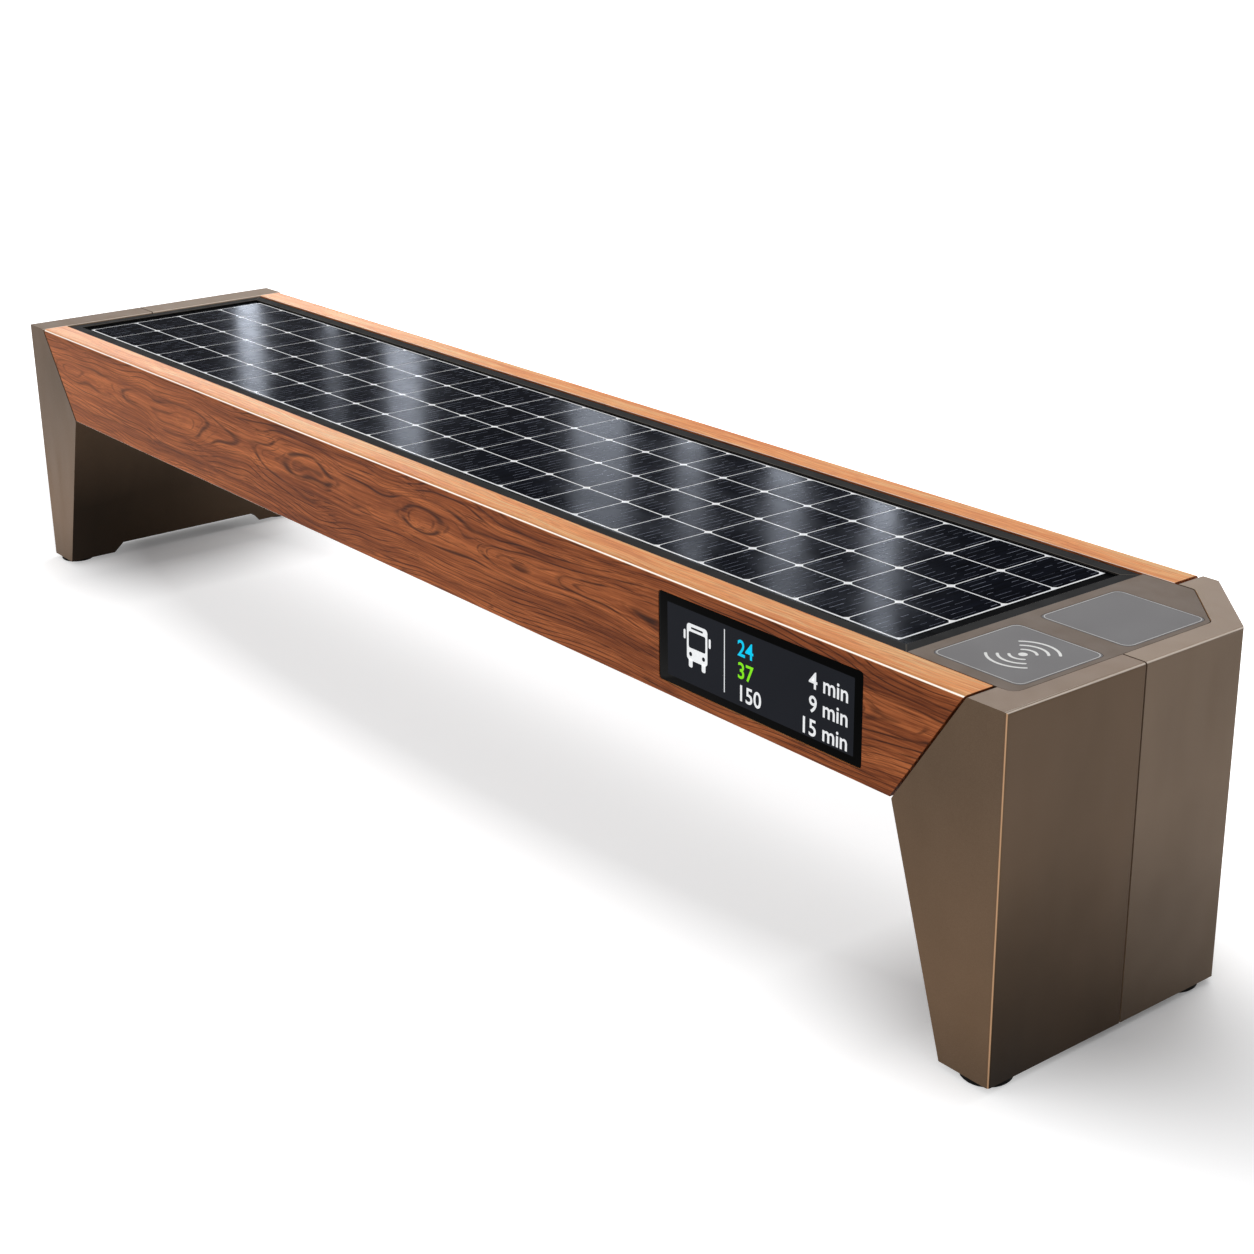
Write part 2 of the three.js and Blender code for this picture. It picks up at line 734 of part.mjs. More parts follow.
const [, , , rearCorner, outerCorner] = deckOutline(0);
const padOuter = pad.length / 2 - pad.inset;
const padFront = deck.reveal + pad.frontMargin - beamInner;
const padRear = lineAt(rearCorner.toReversed(), outerCorner.toReversed(), padOuter) - pad.cornerMargin;
const padWidth = (padRear - padFront - pad.gap) / 2;
const padSpacing = padWidth + pad.gap;
const padSpots = [padFront + padWidth / 2, padRear - padWidth / 2].map((y) => [-pad.inset, y]);

const coilRadius = Math.min(pad.length, padWidth) / 2 - pad.ledge - coil.clearance;
const ferriteLength = (coilRadius + ferrite.lengthMargin) * 2;
const ferriteWidth = (coilRadius + ferrite.widthMargin) * 2;

function chargingDeck() {
  const depth = deckTop - frameBottom;
  const tray = prism("z", deckShape(0), -depth, 0);
  const hollow = prism("z", deckShape(-deck.skirt), -depth - overrun, -deck.plate);
  const recesses = padSpots.map((spot) => {
    const recess = roundedRectangle(pad.length + pad.reveal * 2, padWidth + pad.reveal * 2,
      pad.radius + pad.reveal, spot);
    const window = roundedRectangle(pad.length - pad.ledge * 2, padWidth - pad.ledge * 2,
      pad.radius - pad.ledge, spot);
    return prism("z", recess, -pad.thickness - touch, overrun)
      .add(prism("z", window, -deck.plate - overrun, overrun));
  });
  return meshOf("charging_deck", tray.subtract(hollow).subtract(unionOf(recesses)), "deck");
}

const coilTop = -pad.thickness - touch;
const ferriteTop = coilTop - coil.thickness - touch;
const postTop = ferriteTop - ferrite.thickness - touch;

function chargingPad(name, [x, y]) {
  const sheet = prism("z", roundedRectangle(pad.length, padWidth, pad.radius), 0, pad.thickness);
  return meshOf(name, sheet, "pad", [x, y, -pad.thickness]);
}

function coilRing(name, [x, y]) {
  const { thickness, edgeRadius } = coil;
  const boreRadius = coilRadius * coil.boreShare;
  const profile = [
    [boreRadius, 0],
    [coilRadius - edgeRadius, 0],
    [coilRadius, edgeRadius],
    [coilRadius, thickness - edgeRadius],
    [coilRadius - edgeRadius, thickness],
    [boreRadius, thickness],
    [boreRadius, 0],
  ];
  return meshOf(name, turned(profile), "copper", [x, y, coilTop - thickness]);
}

function ferritePlate(name, [x, y]) {
  const { thickness, radius } = ferrite;
  const sheet = prism("z", roundedRectangle(ferriteLength, ferriteWidth, radius), 0, thickness);
  return meshOf(name, sheet, "ferrite", [x, y, ferriteTop - thickness]);
}

function chargerHousingMesh() {
  const { wall, floor, depth, clearance, postRadius, postInset, radius, outletRadius } = chargerHousing;
  const insideLength = ferriteLength + clearance * 2;
  const insideWidth = ferriteWidth + clearance * 2 + padSpacing;
  const middle = [-pad.inset, (padSpots[0][1] + padSpots[1][1]) / 2];
  const rim = -deck.plate - touch;
  const bottom = rim - depth;
  const box = prism("z", roundedRectangle(insideLength + wall * 2, insideWidth + wall * 2,
    radius, middle), bottom, rim);
  const hollow = prism("z", roundedRectangle(insideLength, insideWidth, radius - wall, middle),
    bottom + floor, rim + overrun);
  const outlet = rod("z", outletRadius, bottom - overrun, bottom + floor + overrun, middle);
  const posts = padSpots.flatMap(([x, y]) => [-1, 1].flatMap((a) => [-1, 1].map((b) => {
    const spot = [
      x + a * (ferriteLength / 2 - postInset), y + b * (ferriteWidth / 2 - postInset),
    ];
    return rod("z", postRadius, bottom, postTop, spot);
  })));
  return meshOf("charger_housing", box.subtract(hollow).subtract(outlet).add(unionOf(posts)), "plastic");
}

function deckGroup() {
  const [front, rear] = padSpots;
  return groupOf([halfLength, 0, deckTop], [
    chargingDeck(),
    chargingPad("front_pad", front),
    chargingPad("rear_pad", rear),
    coilRing("front_coil", front),
    coilRing("rear_coil", rear),
    ferritePlate("front_ferrite", front),
    ferritePlate("rear_ferrite", rear),
    chargerHousingMesh(),
  ]);
}

// Display, with its origin in the middle of the glass's outer face

const sealFront = display.glass + touch;
const housingFront = sealFront + display.seal + touch;
const housingBack = housingFront + display.housingDepth;

function displayGlass() {
  const sheet = prism("y", roundedRectangle(display.length, display.height, display.radius),
    0, display.glass);
  return meshOf("display_glass", sheet, "glass");
}

function displaySeal() {
  const { length, height, radius, sealWidth, seal } = display;
  const ring = roundedRectangle(length, height, radius);
  ring.holes.push(roundedRectangle(length - sealWidth * 2, height - sealWidth * 2, radius / 2));
  return meshOf("display_seal", prism("y", ring, sealFront, sealFront + seal), "rubber");
}

function displayHousing() {
  const { length, height, radius, wall, outlet } = display;
  const box = prism("y", roundedRectangle(length, height, radius), housingFront, housingBack);
  const hollow = prism("y", roundedRectangle(length - wall * 2, height - wall * 2, radius / 2),
    housingFront - overrun, housingBack - wall);
  const hole = rod("y", outlet / 2, housingFront, housingBack + overrun,
    [0, leadHeight - displayMiddle[1]]);
  return meshOf("display_housing", box.subtract(hollow).subtract(hole), "plastic");
}

function displayPanel() {
  const { length, height, wall, panelMargin, panel } = display;
  const inset = (wall + panelMargin) * 2;
  const back = housingBack - wall - touch;
  const sheet = prism("y", rectangle(length - inset, height - inset), back - panel, back);
  return meshOf("display_panel", sheet, "screen");
}

function displayGroup() {
  const [x, z] = displayMiddle;
  return groupOf([x, -halfDepth, z], [displayGlass(), displaySeal(), displayHousing(), displayPanel()]);
}

// Batteries in a cradle that hangs under the two middle cross members

const crossBottom = railTop - crossMember.size;
const cradleHalf = battery.width / 2 + cradle.clearance;
const packTop = crossBottom - touch - cradle.clearance;
const packBottom = packTop - battery.height;
const cradleBottom = packBottom - touch - cradle.sheet;

function batteryPack(name, side) {
  const { length, width, height, radius, gap } = battery;
  const { terminalRadius, terminalHeight, terminalInset } = battery;
  const body = prism("z", roundedRectangle(length, width, radius), 0, height - terminalHeight);
  const terminals = [-1, 1].map((end) => rod("z", terminalRadius, height / 2, height,
    [side * (length / 2 - terminalInset), end * (width / 2 - terminalInset)]));
  return meshOf(name, unionOf([body, ...terminals]), "battery",
    [side * (length + gap) / 2, 0, packBottom]);
}

function batteryCradle() {
  const { sheet, flange } = cradle;
  const top = crossBottom - touch;
  const outline = [
    [-cradleHalf - sheet - flange, top],
    [-cradleHalf - sheet - flange, top - sheet],
    [-cradleHalf - sheet, top - sheet],
    [-cradleHalf - sheet, cradleBottom],
    [cradleHalf + sheet, cradleBottom],
    [cradleHalf + sheet, top - sheet],
    [cradleHalf + sheet + flange, top - sheet],
    [cradleHalf + sheet + flange, top],
    [cradleHalf, top],
    [cradleHalf, cradleBottom + sheet],
    [-cradleHalf, cradleBottom + sheet],
    [-cradleHalf, top],
  ];
  return meshOf("battery_cradle", prism("x", outline, -cradleEnd, cradleEnd), "steel");
}

// The plate between the rails that carries both controllers

const plateBottom = coverFlangeTop + electronics.rise;
const plateTop = plateBottom + electronics.sheet;
const grommetPlace = [controllerEnd, junctionBox.setback];

function channelOutline(low, sheet, flangeTop) {
  return [
    [-channelHalf, flangeTop],
    [-channelHalf, low],
    [channelHalf, low],
    [channelHalf, flangeTop],
    [channelHalf - sheet, flangeTop],
    [channelHalf - sheet, low + sheet],
    [sheet - channelHalf, low + sheet],
    [sheet - channelHalf, flangeTop],
  ];
}

function electronicsPlate() {
  const { sheet, flange, grommetRadius } = electronics;
  const outline = channelOutline(plateBottom, sheet, plateBottom + flange);
  const channel = prism("x", outline, electronicsStart, electronicsEnd);
  const grommet = rod("z", grommetRadius, plateBottom - overrun, plateTop + overrun, grommetPlace);
  return meshOf("electronics_plate", channel.subtract(grommet), "steel");
}

function chargeControllerMesh() {
  const { length, width, height, offset, finCount, finHeight, finShare, radius } = chargeController;
  const body = prism("z", roundedRectangle(length, width, radius), finHeight, height);
  const pitch = width / finCount;
  const fins = Array.from({ length: finCount }, (_, i) => {
    const y = (i - (finCount - 1) / 2) * pitch;
    return block(
      [radius - length / 2, length / 2 - radius],
      [y - pitch * finShare / 2, y + pitch * finShare / 2],
      [0, finHeight + radius],
    );
  });
  const place = [controllerEnd - length / 2, -offset, plateBottom - touch - height];
  return meshOf("charge_controller", unionOf([body, ...fins]), "blackMetal", place);
}

const displayControllerEnd = electronicsEnd - displayController.fromEnd;
const displayControllerY = electronics.sheet + displayController.sideGap
  + displayController.width / 2 - channelHalf;

function displayControllerMesh() {
  const { length, width, height, radius } = displayController;
  const body = prism("z", roundedRectangle(length, width, radius), 0, height);
  const place = [displayControllerEnd - length / 2, displayControllerY, plateTop + touch];
  return meshOf("display_controller", body, "plastic", place);
}

// Leads that the bench holds all the way, each on one smooth curve

function leadAlong(name, points) {
  const path = new THREE.CatmullRomCurve3(points.map((point) => new THREE.Vector3(...point)));
  const outline = Array.from({ length: lead.sides }, (_, i) => {
    const angle = i / lead.sides * Math.PI * 2;
    return [lead.radius * Math.cos(angle), lead.radius * Math.sin(angle)];
  });
  const steps = Math.ceil(path.getLength() / (lead.radius * 4));
  const geometry = new THREE.ExtrudeGeometry(shapeOf(outline), { steps, extrudePath: path });
  return meshOf(name, solidOf(geometry), "plastic");
}

const controllerSide = chargeController.width / 2 - chargeController.offset;
const entryHeight = plateBottom - touch - (chargeController.height - chargeController.finHeight) / 2;

function solarLead() {
  const [x, y] = grommetPlace;
  const start = frameBottom + ledgeTop - junctionBox.height - junctionBox.glandLength - touch;
  const entry = controllerEnd - lead.entryInset;
  const { bend } = lead;
  return leadAlong("solar_lead", [
    [x, y, start],
    [x, y, plateTop],
    [x, y, entryHeight + bend / 2],
    [x - bend, y, entryHeight],
    [entry + bend / 2, controllerSide + bend, entryHeight],
    [entry, controllerSide + bend / 2, entryHeight],
    [entry, controllerSide + touch, entryHeight],
  ]);
}

function displayLead() {
  const [x, y, end] = [displayX, displayControllerY, displayControllerEnd];
  const middle = plateTop + touch + displayController.height / 2;
  const { bend } = lead;
  return leadAlong("display_lead", [
    [x, housingBack - halfDepth + touch, leadHeight],
    [x, -railInner, leadHeight],
    [x, bend - railInner, leadHeight],
    [x - bend / 2, y - bend / 2, middle],
    [end + bend / 2, y, middle],
    [end + touch, y, middle],
  ]);
}

function chargerLead() {
  const x = halfLength - pad.inset;
  const y = (padSpots[0][1] + padSpots[1][1]) / 2;
  const start = deckTop - deck.plate - touch * 2 - chargerHousing.depth;
  const { bend } = lead;
  return leadAlong("charger_lead", [
    [x, y, start],
    [x, y, railBottom + bend * 2],
    [x - bend * 2, y, railBottom + bend],
    [halfLength - leg.waistWidth - bend * 4, y, entryHeight],
    [controllerEnd + bend, y, entryHeight],
    [controllerEnd + touch, y, entryHeight],
  ]);
}

// Belly covers, open to the air through slots, with flanges against the rails

function bellyCover(name, side) {
  const { sheet, legGap, ventCount, ventPitch, ventLength, ventWidth } = cover;
  const start = hatch.length / 2 - hatch.lap;
  const end = halfLength - frameReach - legGap;
  const [from, to] = side < 0 ? [-end, -start] : [start, end];
  const channel = prism("x", channelOutline(coverBottom, sheet, coverFlangeTop), from, to);
  const vents = Array.from({ length: ventCount }, (_, i) => {
    const x = (from + to) / 2 + (i - (ventCount - 1) / 2) * ventPitch;
    const slot = roundedRectangle(ventWidth, ventLength, ventWidth / 2, [x, 0]);
    return prism("z", slot, coverBottom - overrun, coverTop + overrun);
  });
  return meshOf(name, channel.subtract(unionOf(vents)), "blackMetal");
}

// Service hatch, closed from below against its two rails and the belly covers

const hatchTop = coverBottom - touch;
const hatchBottom = hatchTop - hatch.sheet;
const latchEdge = hatch.frontLeg - channelHalf;
const hingeEdge = channelHalf - hatch.rearLeg;
const hatchFront = latchEdge - hatch.lap;
const leafTop = hatchBottom - touch;
const hingeY = hingeEdge + hatch.lap;
const hingeZ = coverBottom - hinge.radius - hinge.drop;
const hatchRear = hingeY - hatch.swing;
const lockY = latchEdge + hatch.lap;
const hingeX = hatch.length / 2 - hinge.endInset;

function angleRail(side, reach) {
  const outer = side * channelHalf;
  const outline = [
    [outer, coverFlangeTop],
    [outer, coverBottom],
    [outer - side * reach, coverBottom],
    [outer - side * reach, coverTop],
    [outer - side * cover.sheet, coverTop],
    [outer - side * cover.sheet, coverFlangeTop],
  ];
  const half = hatch.length / 2 - hatch.lap - touch;
  return prism("x", outline, -half, half);
}

function knuckle(from, to) {
  return rod("x", hinge.radius, from, to, [hingeY, hingeZ]);
}

function hingeBore() {
  const reach = hatch.length / 2;
  return rod("x", hinge.boreRadius, -reach, reach, [hingeY, hingeZ]);
}

function hingeRail() {
  const inner = hinge.knuckle / 2 + hinge.gap;
  const outer = inner + hinge.outerKnuckle;
  const knuckles = [-hingeX, hingeX].flatMap((x) => [
    [x - outer, x - inner],
    [x + inner, x + outer],
  ].map(([from, to]) => {
    const web = block([from, to], [hingeY - hinge.webWidth / 2, hingeY + hinge.webWidth / 2],
      [hingeZ, coverTop]);
    return knuckle(from, to).add(web);
  }));
  const angle = angleRail(1, hatch.rearLeg);
  return meshOf("hinge_rail", angle.add(unionOf(knuckles)).subtract(hingeBore()), "blackMetal");
}

function latchRail() {
  return meshOf("latch_rail", angleRail(-1, hatch.frontLeg), "blackMetal");
}

function hingeLeaf(name, x) {
  const half = hinge.knuckle / 2;
  const plate = block([x - half, x + half], [hingeY - hinge.leafWidth, hingeY],
    [leafTop - hinge.leafThickness, leafTop]);
  return meshOf(name, knuckle(x - half, x + half).add(plate).subtract(hingeBore()), "steel");
}

function hingePin(name, x) {
  const half = hinge.knuckle / 2 + hinge.gap + hinge.outerKnuckle + touch;
  const pin = rod("x", hinge.pinRadius, x - half, x + half, [hingeY, hingeZ]);
  const heads = [x - half - hinge.headLength, x + half].map((from) => rod("x", hinge.headRadius,
    from, from + hinge.headLength, [hingeY, hingeZ]));
  return meshOf(name, unionOf([pin, ...heads]), "brightSteel");
}

const lockX = hatch.length / 2 - lock.endInset;
const lockSpots = [-lockX, lockX].map((x) => [x, lockY]);

function serviceHatch() {
  const half = hatch.length / 2;
  const sheet = block([-half, half], [hatchFront, hatchRear], [hatchBottom, hatchTop]);
  const ribs = [-hatch.ribOffset, hatch.ribOffset].map((y) => {
    const outline = [
      [y - hatch.ribWidth / 2, hatchTop],
      [y + hatch.ribWidth / 2, hatchTop],
      [y + hatch.ribTop / 2, hatchTop + hatch.ribHeight],
      [y - hatch.ribTop / 2, hatchTop + hatch.ribHeight],
    ];
    const reach = half - hatch.lap * 3;
    return prism("x", outline, -reach, reach);
  });
  const holes = lockSpots.map((spot) => rod("z", lock.barrelRadius + lock.clearance,
    hatchBottom - overrun, hatchTop + overrun, spot, facets.round));
  return meshOf("service_hatch", unionOf([sheet, ...ribs]).subtract(unionOf(holes)), "blackMetal");
}

const flangeBottom = leafTop - lock.flange;
const tongueBottom = coverTop + touch;

function lockHousing(name, [x, y]) {
  const bore = lock.stemRadius + lock.clearance;
  const profile = [
    [bore, flangeBottom],
    [lock.flangeRadius, flangeBottom],
    [lock.flangeRadius, leafTop],
    [lock.barrelRadius, leafTop],
    [lock.barrelRadius, coverTop],
    [bore, coverTop],
    [bore, flangeBottom],
  ];
  return meshOf(name, turned(profile), "brightSteel", [x, y, 0]);
}

function lockCam(name, [x, y], side) {
  const stemBottom = flangeBottom + lock.stemRecess;
  const stem = rod("z", lock.stemRadius, stemBottom, tongueBottom + lock.tongue, [0, 0], facets.round);
  const tongue = prism("z", roundedRectangle(lock.tongueLength + lock.tongueWidth / 2,
    lock.tongueWidth, lock.tongueWidth / 2, [side * (lock.tongueLength - lock.tongueWidth / 2) / 2, 0]),
    tongueBottom, tongueBottom + lock.tongue);
  const keyway = rod("z", lock.keyRadius, stemBottom - overrun, stemBottom + lock.keyDepth, [0, 0], 3);
  return meshOf(name, stem.add(tongue).subtract(keyway), "brightSteel", [x, y, 0]);
}

function hatchMeshes() {
  const [firstLock, secondLock] = lockSpots;
  return [
    serviceHatch(),
    hingeLeaf("hinge_leaf_1", -hingeX),
    hingeLeaf("hinge_leaf_2", hingeX),
    lockHousing("lock_housing_1", firstLock),
    lockHousing("lock_housing_2", secondLock),
    lockCam("lock_cam_1", firstLock, 1),
    lockCam("lock_cam_2", secondLock, -1),
  ];
}

// The bench

const solarChargingBench = groupOf([0, 0, 0], [
  legGroup("left", leftEnd),
  legGroup("right", chargingEnd),
  frontBeam(),
  meshOf("rear_beam", woodBeam(1), "wood"),
  ...rails(),
  ...crossMembers(),
  solarGroup(),
  deckGroup(),
  displayGroup(),
  batteryPack("battery_pack_1", -1),
  batteryPack("battery_pack_2", 1),
  batteryCradle(),
  electronicsPlate(),
  chargeControllerMesh(),
  displayControllerMesh(),
  solarLead(),
  displayLead(),
  chargerLead(),
  bellyCover("left_belly_cover", -1),
  bellyCover("right_belly_cover", 1),
  hingeRail(),
  latchRail(),
  hingePin("hinge_pin_1", -hingeX),
  hingePin("hinge_pin_2", hingeX),
  ...hatchMeshes(),
]);
solarChargingBench.name = "solar_charging_bench";

export default solarChargingBench;
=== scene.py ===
"""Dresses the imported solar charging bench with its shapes, finishes, studio and camera.

The sub-assemblies hold their sizes in millimetres, and a form turns to metres when it is
done. The studio and the camera are given in metres.
X runs along the bench to the charging end, Y to the rear, and Z up from the floor.
"""

import logging
import math
import random
from dataclasses import dataclass, replace
from enum import Enum

import bmesh
import bpy
from mathutils import Matrix, Vector

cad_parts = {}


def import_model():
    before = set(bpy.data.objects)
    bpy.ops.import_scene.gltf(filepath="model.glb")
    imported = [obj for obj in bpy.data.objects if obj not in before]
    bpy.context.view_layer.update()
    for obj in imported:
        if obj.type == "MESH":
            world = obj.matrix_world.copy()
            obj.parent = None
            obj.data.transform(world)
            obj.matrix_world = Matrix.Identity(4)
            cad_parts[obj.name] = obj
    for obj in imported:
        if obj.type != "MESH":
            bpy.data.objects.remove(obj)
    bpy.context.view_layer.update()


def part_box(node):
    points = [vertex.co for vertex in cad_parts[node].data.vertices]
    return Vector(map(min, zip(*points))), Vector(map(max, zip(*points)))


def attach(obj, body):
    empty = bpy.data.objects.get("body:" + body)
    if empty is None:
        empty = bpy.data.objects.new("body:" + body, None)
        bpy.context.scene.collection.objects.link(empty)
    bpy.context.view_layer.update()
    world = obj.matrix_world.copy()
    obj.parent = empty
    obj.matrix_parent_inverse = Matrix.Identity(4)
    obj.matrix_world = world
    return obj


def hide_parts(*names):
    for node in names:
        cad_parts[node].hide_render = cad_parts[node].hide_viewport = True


LOG = logging.getLogger("bench")
MILLIMETRE = 0.001
WELD = 0.00001
FIGURE_HEIGHT = 0.70  # of a figure in the built-in type at its size of 1
FIGURE_WEIGHT = 0.012  # how much bolder its figures are made, at the same size
SUNK = 0.05  # how deep a thin layer reaches into the one below
EASED_SHARE = 0.3  # where an eased edge turns, as a share of its width
SHARPEST = 0.2  # the least share by which a sharp corner's way inwards is divided

Point = tuple[float, float]
Triple = tuple[float, float, float]
Sides = tuple[float, float, float, float]
Sizes = tuple[float, float, float, float, float]
Outline = list[Point]
Loop = list[bmesh.types.BMVert]
Material = bpy.types.Material
Mesh = bpy.types.Mesh
Piece = bpy.types.Object
Socket = bpy.types.NodeSocket


class Facing(Enum):
    """The way a flat form faces: how its (a, b, depth) become the bench's (x, y, z)."""

    UP = ((1, 0, 0), (0, 1, 0), (0, 0, 1))
    FRONT = ((1, 0, 0), (0, 0, 1), (0, -1, 0))
    DOWN = ((1, 0, 0), (0, -1, 0), (0, 0, -1))

    def place(self, a: float, b: float, depth: float) -> Vector:
        """The point in the bench's frame, in millimetres."""
        along, across, out = (Vector(axis) for axis in self.value)
        return along * a + across * b + out * depth


class Slot(Enum):
    """The record's material slots, held in each new piece's dressing."""

    BRONZE = "bronze"
    WOOD = "wood"
    BLACK_METAL = "black_metal"
    CELLS = "solar_cells"
    DECK = "deck_plate"
    PAD = "pad"
    DISPLAY_GLASS = "display_glass"
    SCREEN = "screen"
    BRIGHT_STEEL = "bright_steel"


@dataclass(frozen=True)
class Tone:
    """A screen colour, each channel from 0 to 255."""

    red: float
    green: float
    blue: float

    def linear(self) -> tuple[float, float, float, float]:
        """The colour as the shaders take it."""
        shares = [channel / 255 for channel in (self.red, self.green, self.blue)]
        return (*(self.decoded(share) for share in shares), 1.0)

    @staticmethod
    def decoded(share: float) -> float:
        """One channel of the screen's curve, from 0 to 1, as an amount of light."""
        return share / 12.92 if share <= 0.04045 else ((share + 0.055) / 1.055) ** 2.4


@dataclass(frozen=True)
class Clouds:
    """Soft random clouds: so many to a metre along each axis, and their finer layers."""

    scale: Triple
    detail: float = 4.0
    roughness: float = 0.5
    distortion: float = 0.0


@dataclass(frozen=True)
class Layer:
    """The depths between which a flat form lies, and the way its face looks."""

    low: float
    high: float
    facing: Facing = Facing.UP


# Outlines, as lists of points that run anticlockwise


def rectangle(left: float, right: float, low: float, high: float) -> Outline:
    """A rectangle's four corners."""
    return [(left, low), (right, low), (right, high), (left, high)]


def arc(centre: Point, radius: float, start: float, end: float, steps: int) -> Outline:
    """Points on an arc.

    Args:
        centre: the arc's centre.
        radius: its radius.
        start: its first angle, in degrees.
        end: its last angle, in degrees.
        steps: how many stretches it has.

    Returns:
        One point more than the stretches.
    """
    turns = [math.radians(start + (end - start) * i / steps) for i in range(steps + 1)]
    return [(centre[0] + radius * math.cos(t), centre[1] + radius * math.sin(t)) for t in turns]


def circle(centre: Point, radius: float, sides: int = 24) -> Outline:
    """A round outline."""
    return arc(centre, radius, 0, 360, sides)[:-1]


def rounded(left: float, right: float, low: float, high: float, radius: float,
            steps: int = 6) -> Outline:
    """A rectangle with round corners.

    Args:
        left: its lowest a.
        right: its highest a.
        low: its lowest b.
        high: its highest b.
        radius: the corners' radius.
        steps: how many stretches each corner has.

    Returns:
        The outline.
    """
    corners = [(right - radius, low + radius, -90), (right - radius, high - radius, 0),
               (left + radius, high - radius, 90), (left + radius, low + radius, 180)]
    points = []
    for a, b, start in corners:
        points += arc((a, b), radius, start, start + 90, steps)
    return points


def arc_band(centre: Point, radius: float, width: float, start: float, end: float,
             steps: int = 28) -> Outline:
    """A stroke bent round a centre, with round ends.

    Args:
        centre: the middle of the bend.
        radius: the stroke's middle radius.
        width: the stroke's width.
        start: its first angle, in degrees.
        end: its last angle, in degrees.
        steps: how many stretches each side has.

    Returns:
        The outline.
    """
    half = width / 2
    outer = arc(centre, radius + half, start, end, steps)
    inner = arc(centre, radius - half, end, start, steps)
    last = arc(centre, radius, end, end, 1)[0]
    first = arc(centre, radius, start, start, 1)[0]
    return outer + arc(last, half, end, end + 180, 8)[1:-1] + inner \
        + arc(first, half, start + 180, start + 360, 8)[1:-1]


def drawn_in(outline: Outline, distance: float) -> Outline:
    """Moves each side of an outline inwards.

    Args:
        outline: the outline, anticlockwise.
        distance: how far its sides move.

    Returns:
        The smaller outline, with as many points.
    """
    points = []
    for i, point in enumerate(outline):
        here = Vector(point)
        before = (here - Vector(outline[i - 1])).normalized()
        after = (Vector(outline[(i + 1) % len(outline)]) - here).normalized()
        inward = Vector((-before.y - after.y, before.x + after.x))
        share = max(inward.length_squared / 2, SHARPEST)
        points.append(tuple(here + inward * (distance / share)))
    return points


class Nodes:
    """A node tree being written."""

    def __init__(self, tree: bpy.types.NodeTree) -> None:
        """Takes the tree."""
        self.tree = tree

    def add(self, kind: str, inputs: dict[str | int, object] | None = None,
            **settings: object) -> bpy.types.NodeOutputs:
        """Adds a node.

        Args:
            kind: the node's type.
            inputs: the sockets or values it takes, by its inputs' names or places.
            settings: its settings.

        Returns:
            Its outputs.
        """
        node = self.tree.nodes.new(kind)
        for name, value in settings.items():
            setattr(node, name, value)
        for name, source in (inputs or {}).items():
            self.feed(source, node.inputs[name])
        return node.outputs

    def feed(self, source: object, target: Socket) -> None:
        """Links a socket to another, or sets the target to a value.

        Args:
            source: the socket or the value.
            target: the socket that takes it.
        """
        if isinstance(source, Socket):
            self.tree.links.new(source, target)
        else:
            target.default_value = source

    def maths(self, operation: str, first: object, second: object = 0.0,
              clamp: bool = False) -> Socket:
        """One sum on two values or sockets, held within 0 and 1 if it is clamped."""
        return self.add("ShaderNodeMath", {0: first, 1: second}, operation=operation,
                        use_clamp=clamp)[0]

    def times(self, first: object, second: object) -> Socket:
        """Two values or sockets multiplied."""
        return self.maths("MULTIPLY", first, second)

    def levels(self, source: object, low: float, high: float, to_low: float = 0.0,
               to_high: float = 1.0) -> Socket:
        """Stretches the values between low and high to the range from to_low to to_high."""
        return self.add("ShaderNodeMapRange", {
            "Value": source, "From Min": low, "From Max": high, "To Min": to_low,
            "To Max": to_high}, clamp=True)["Result"]


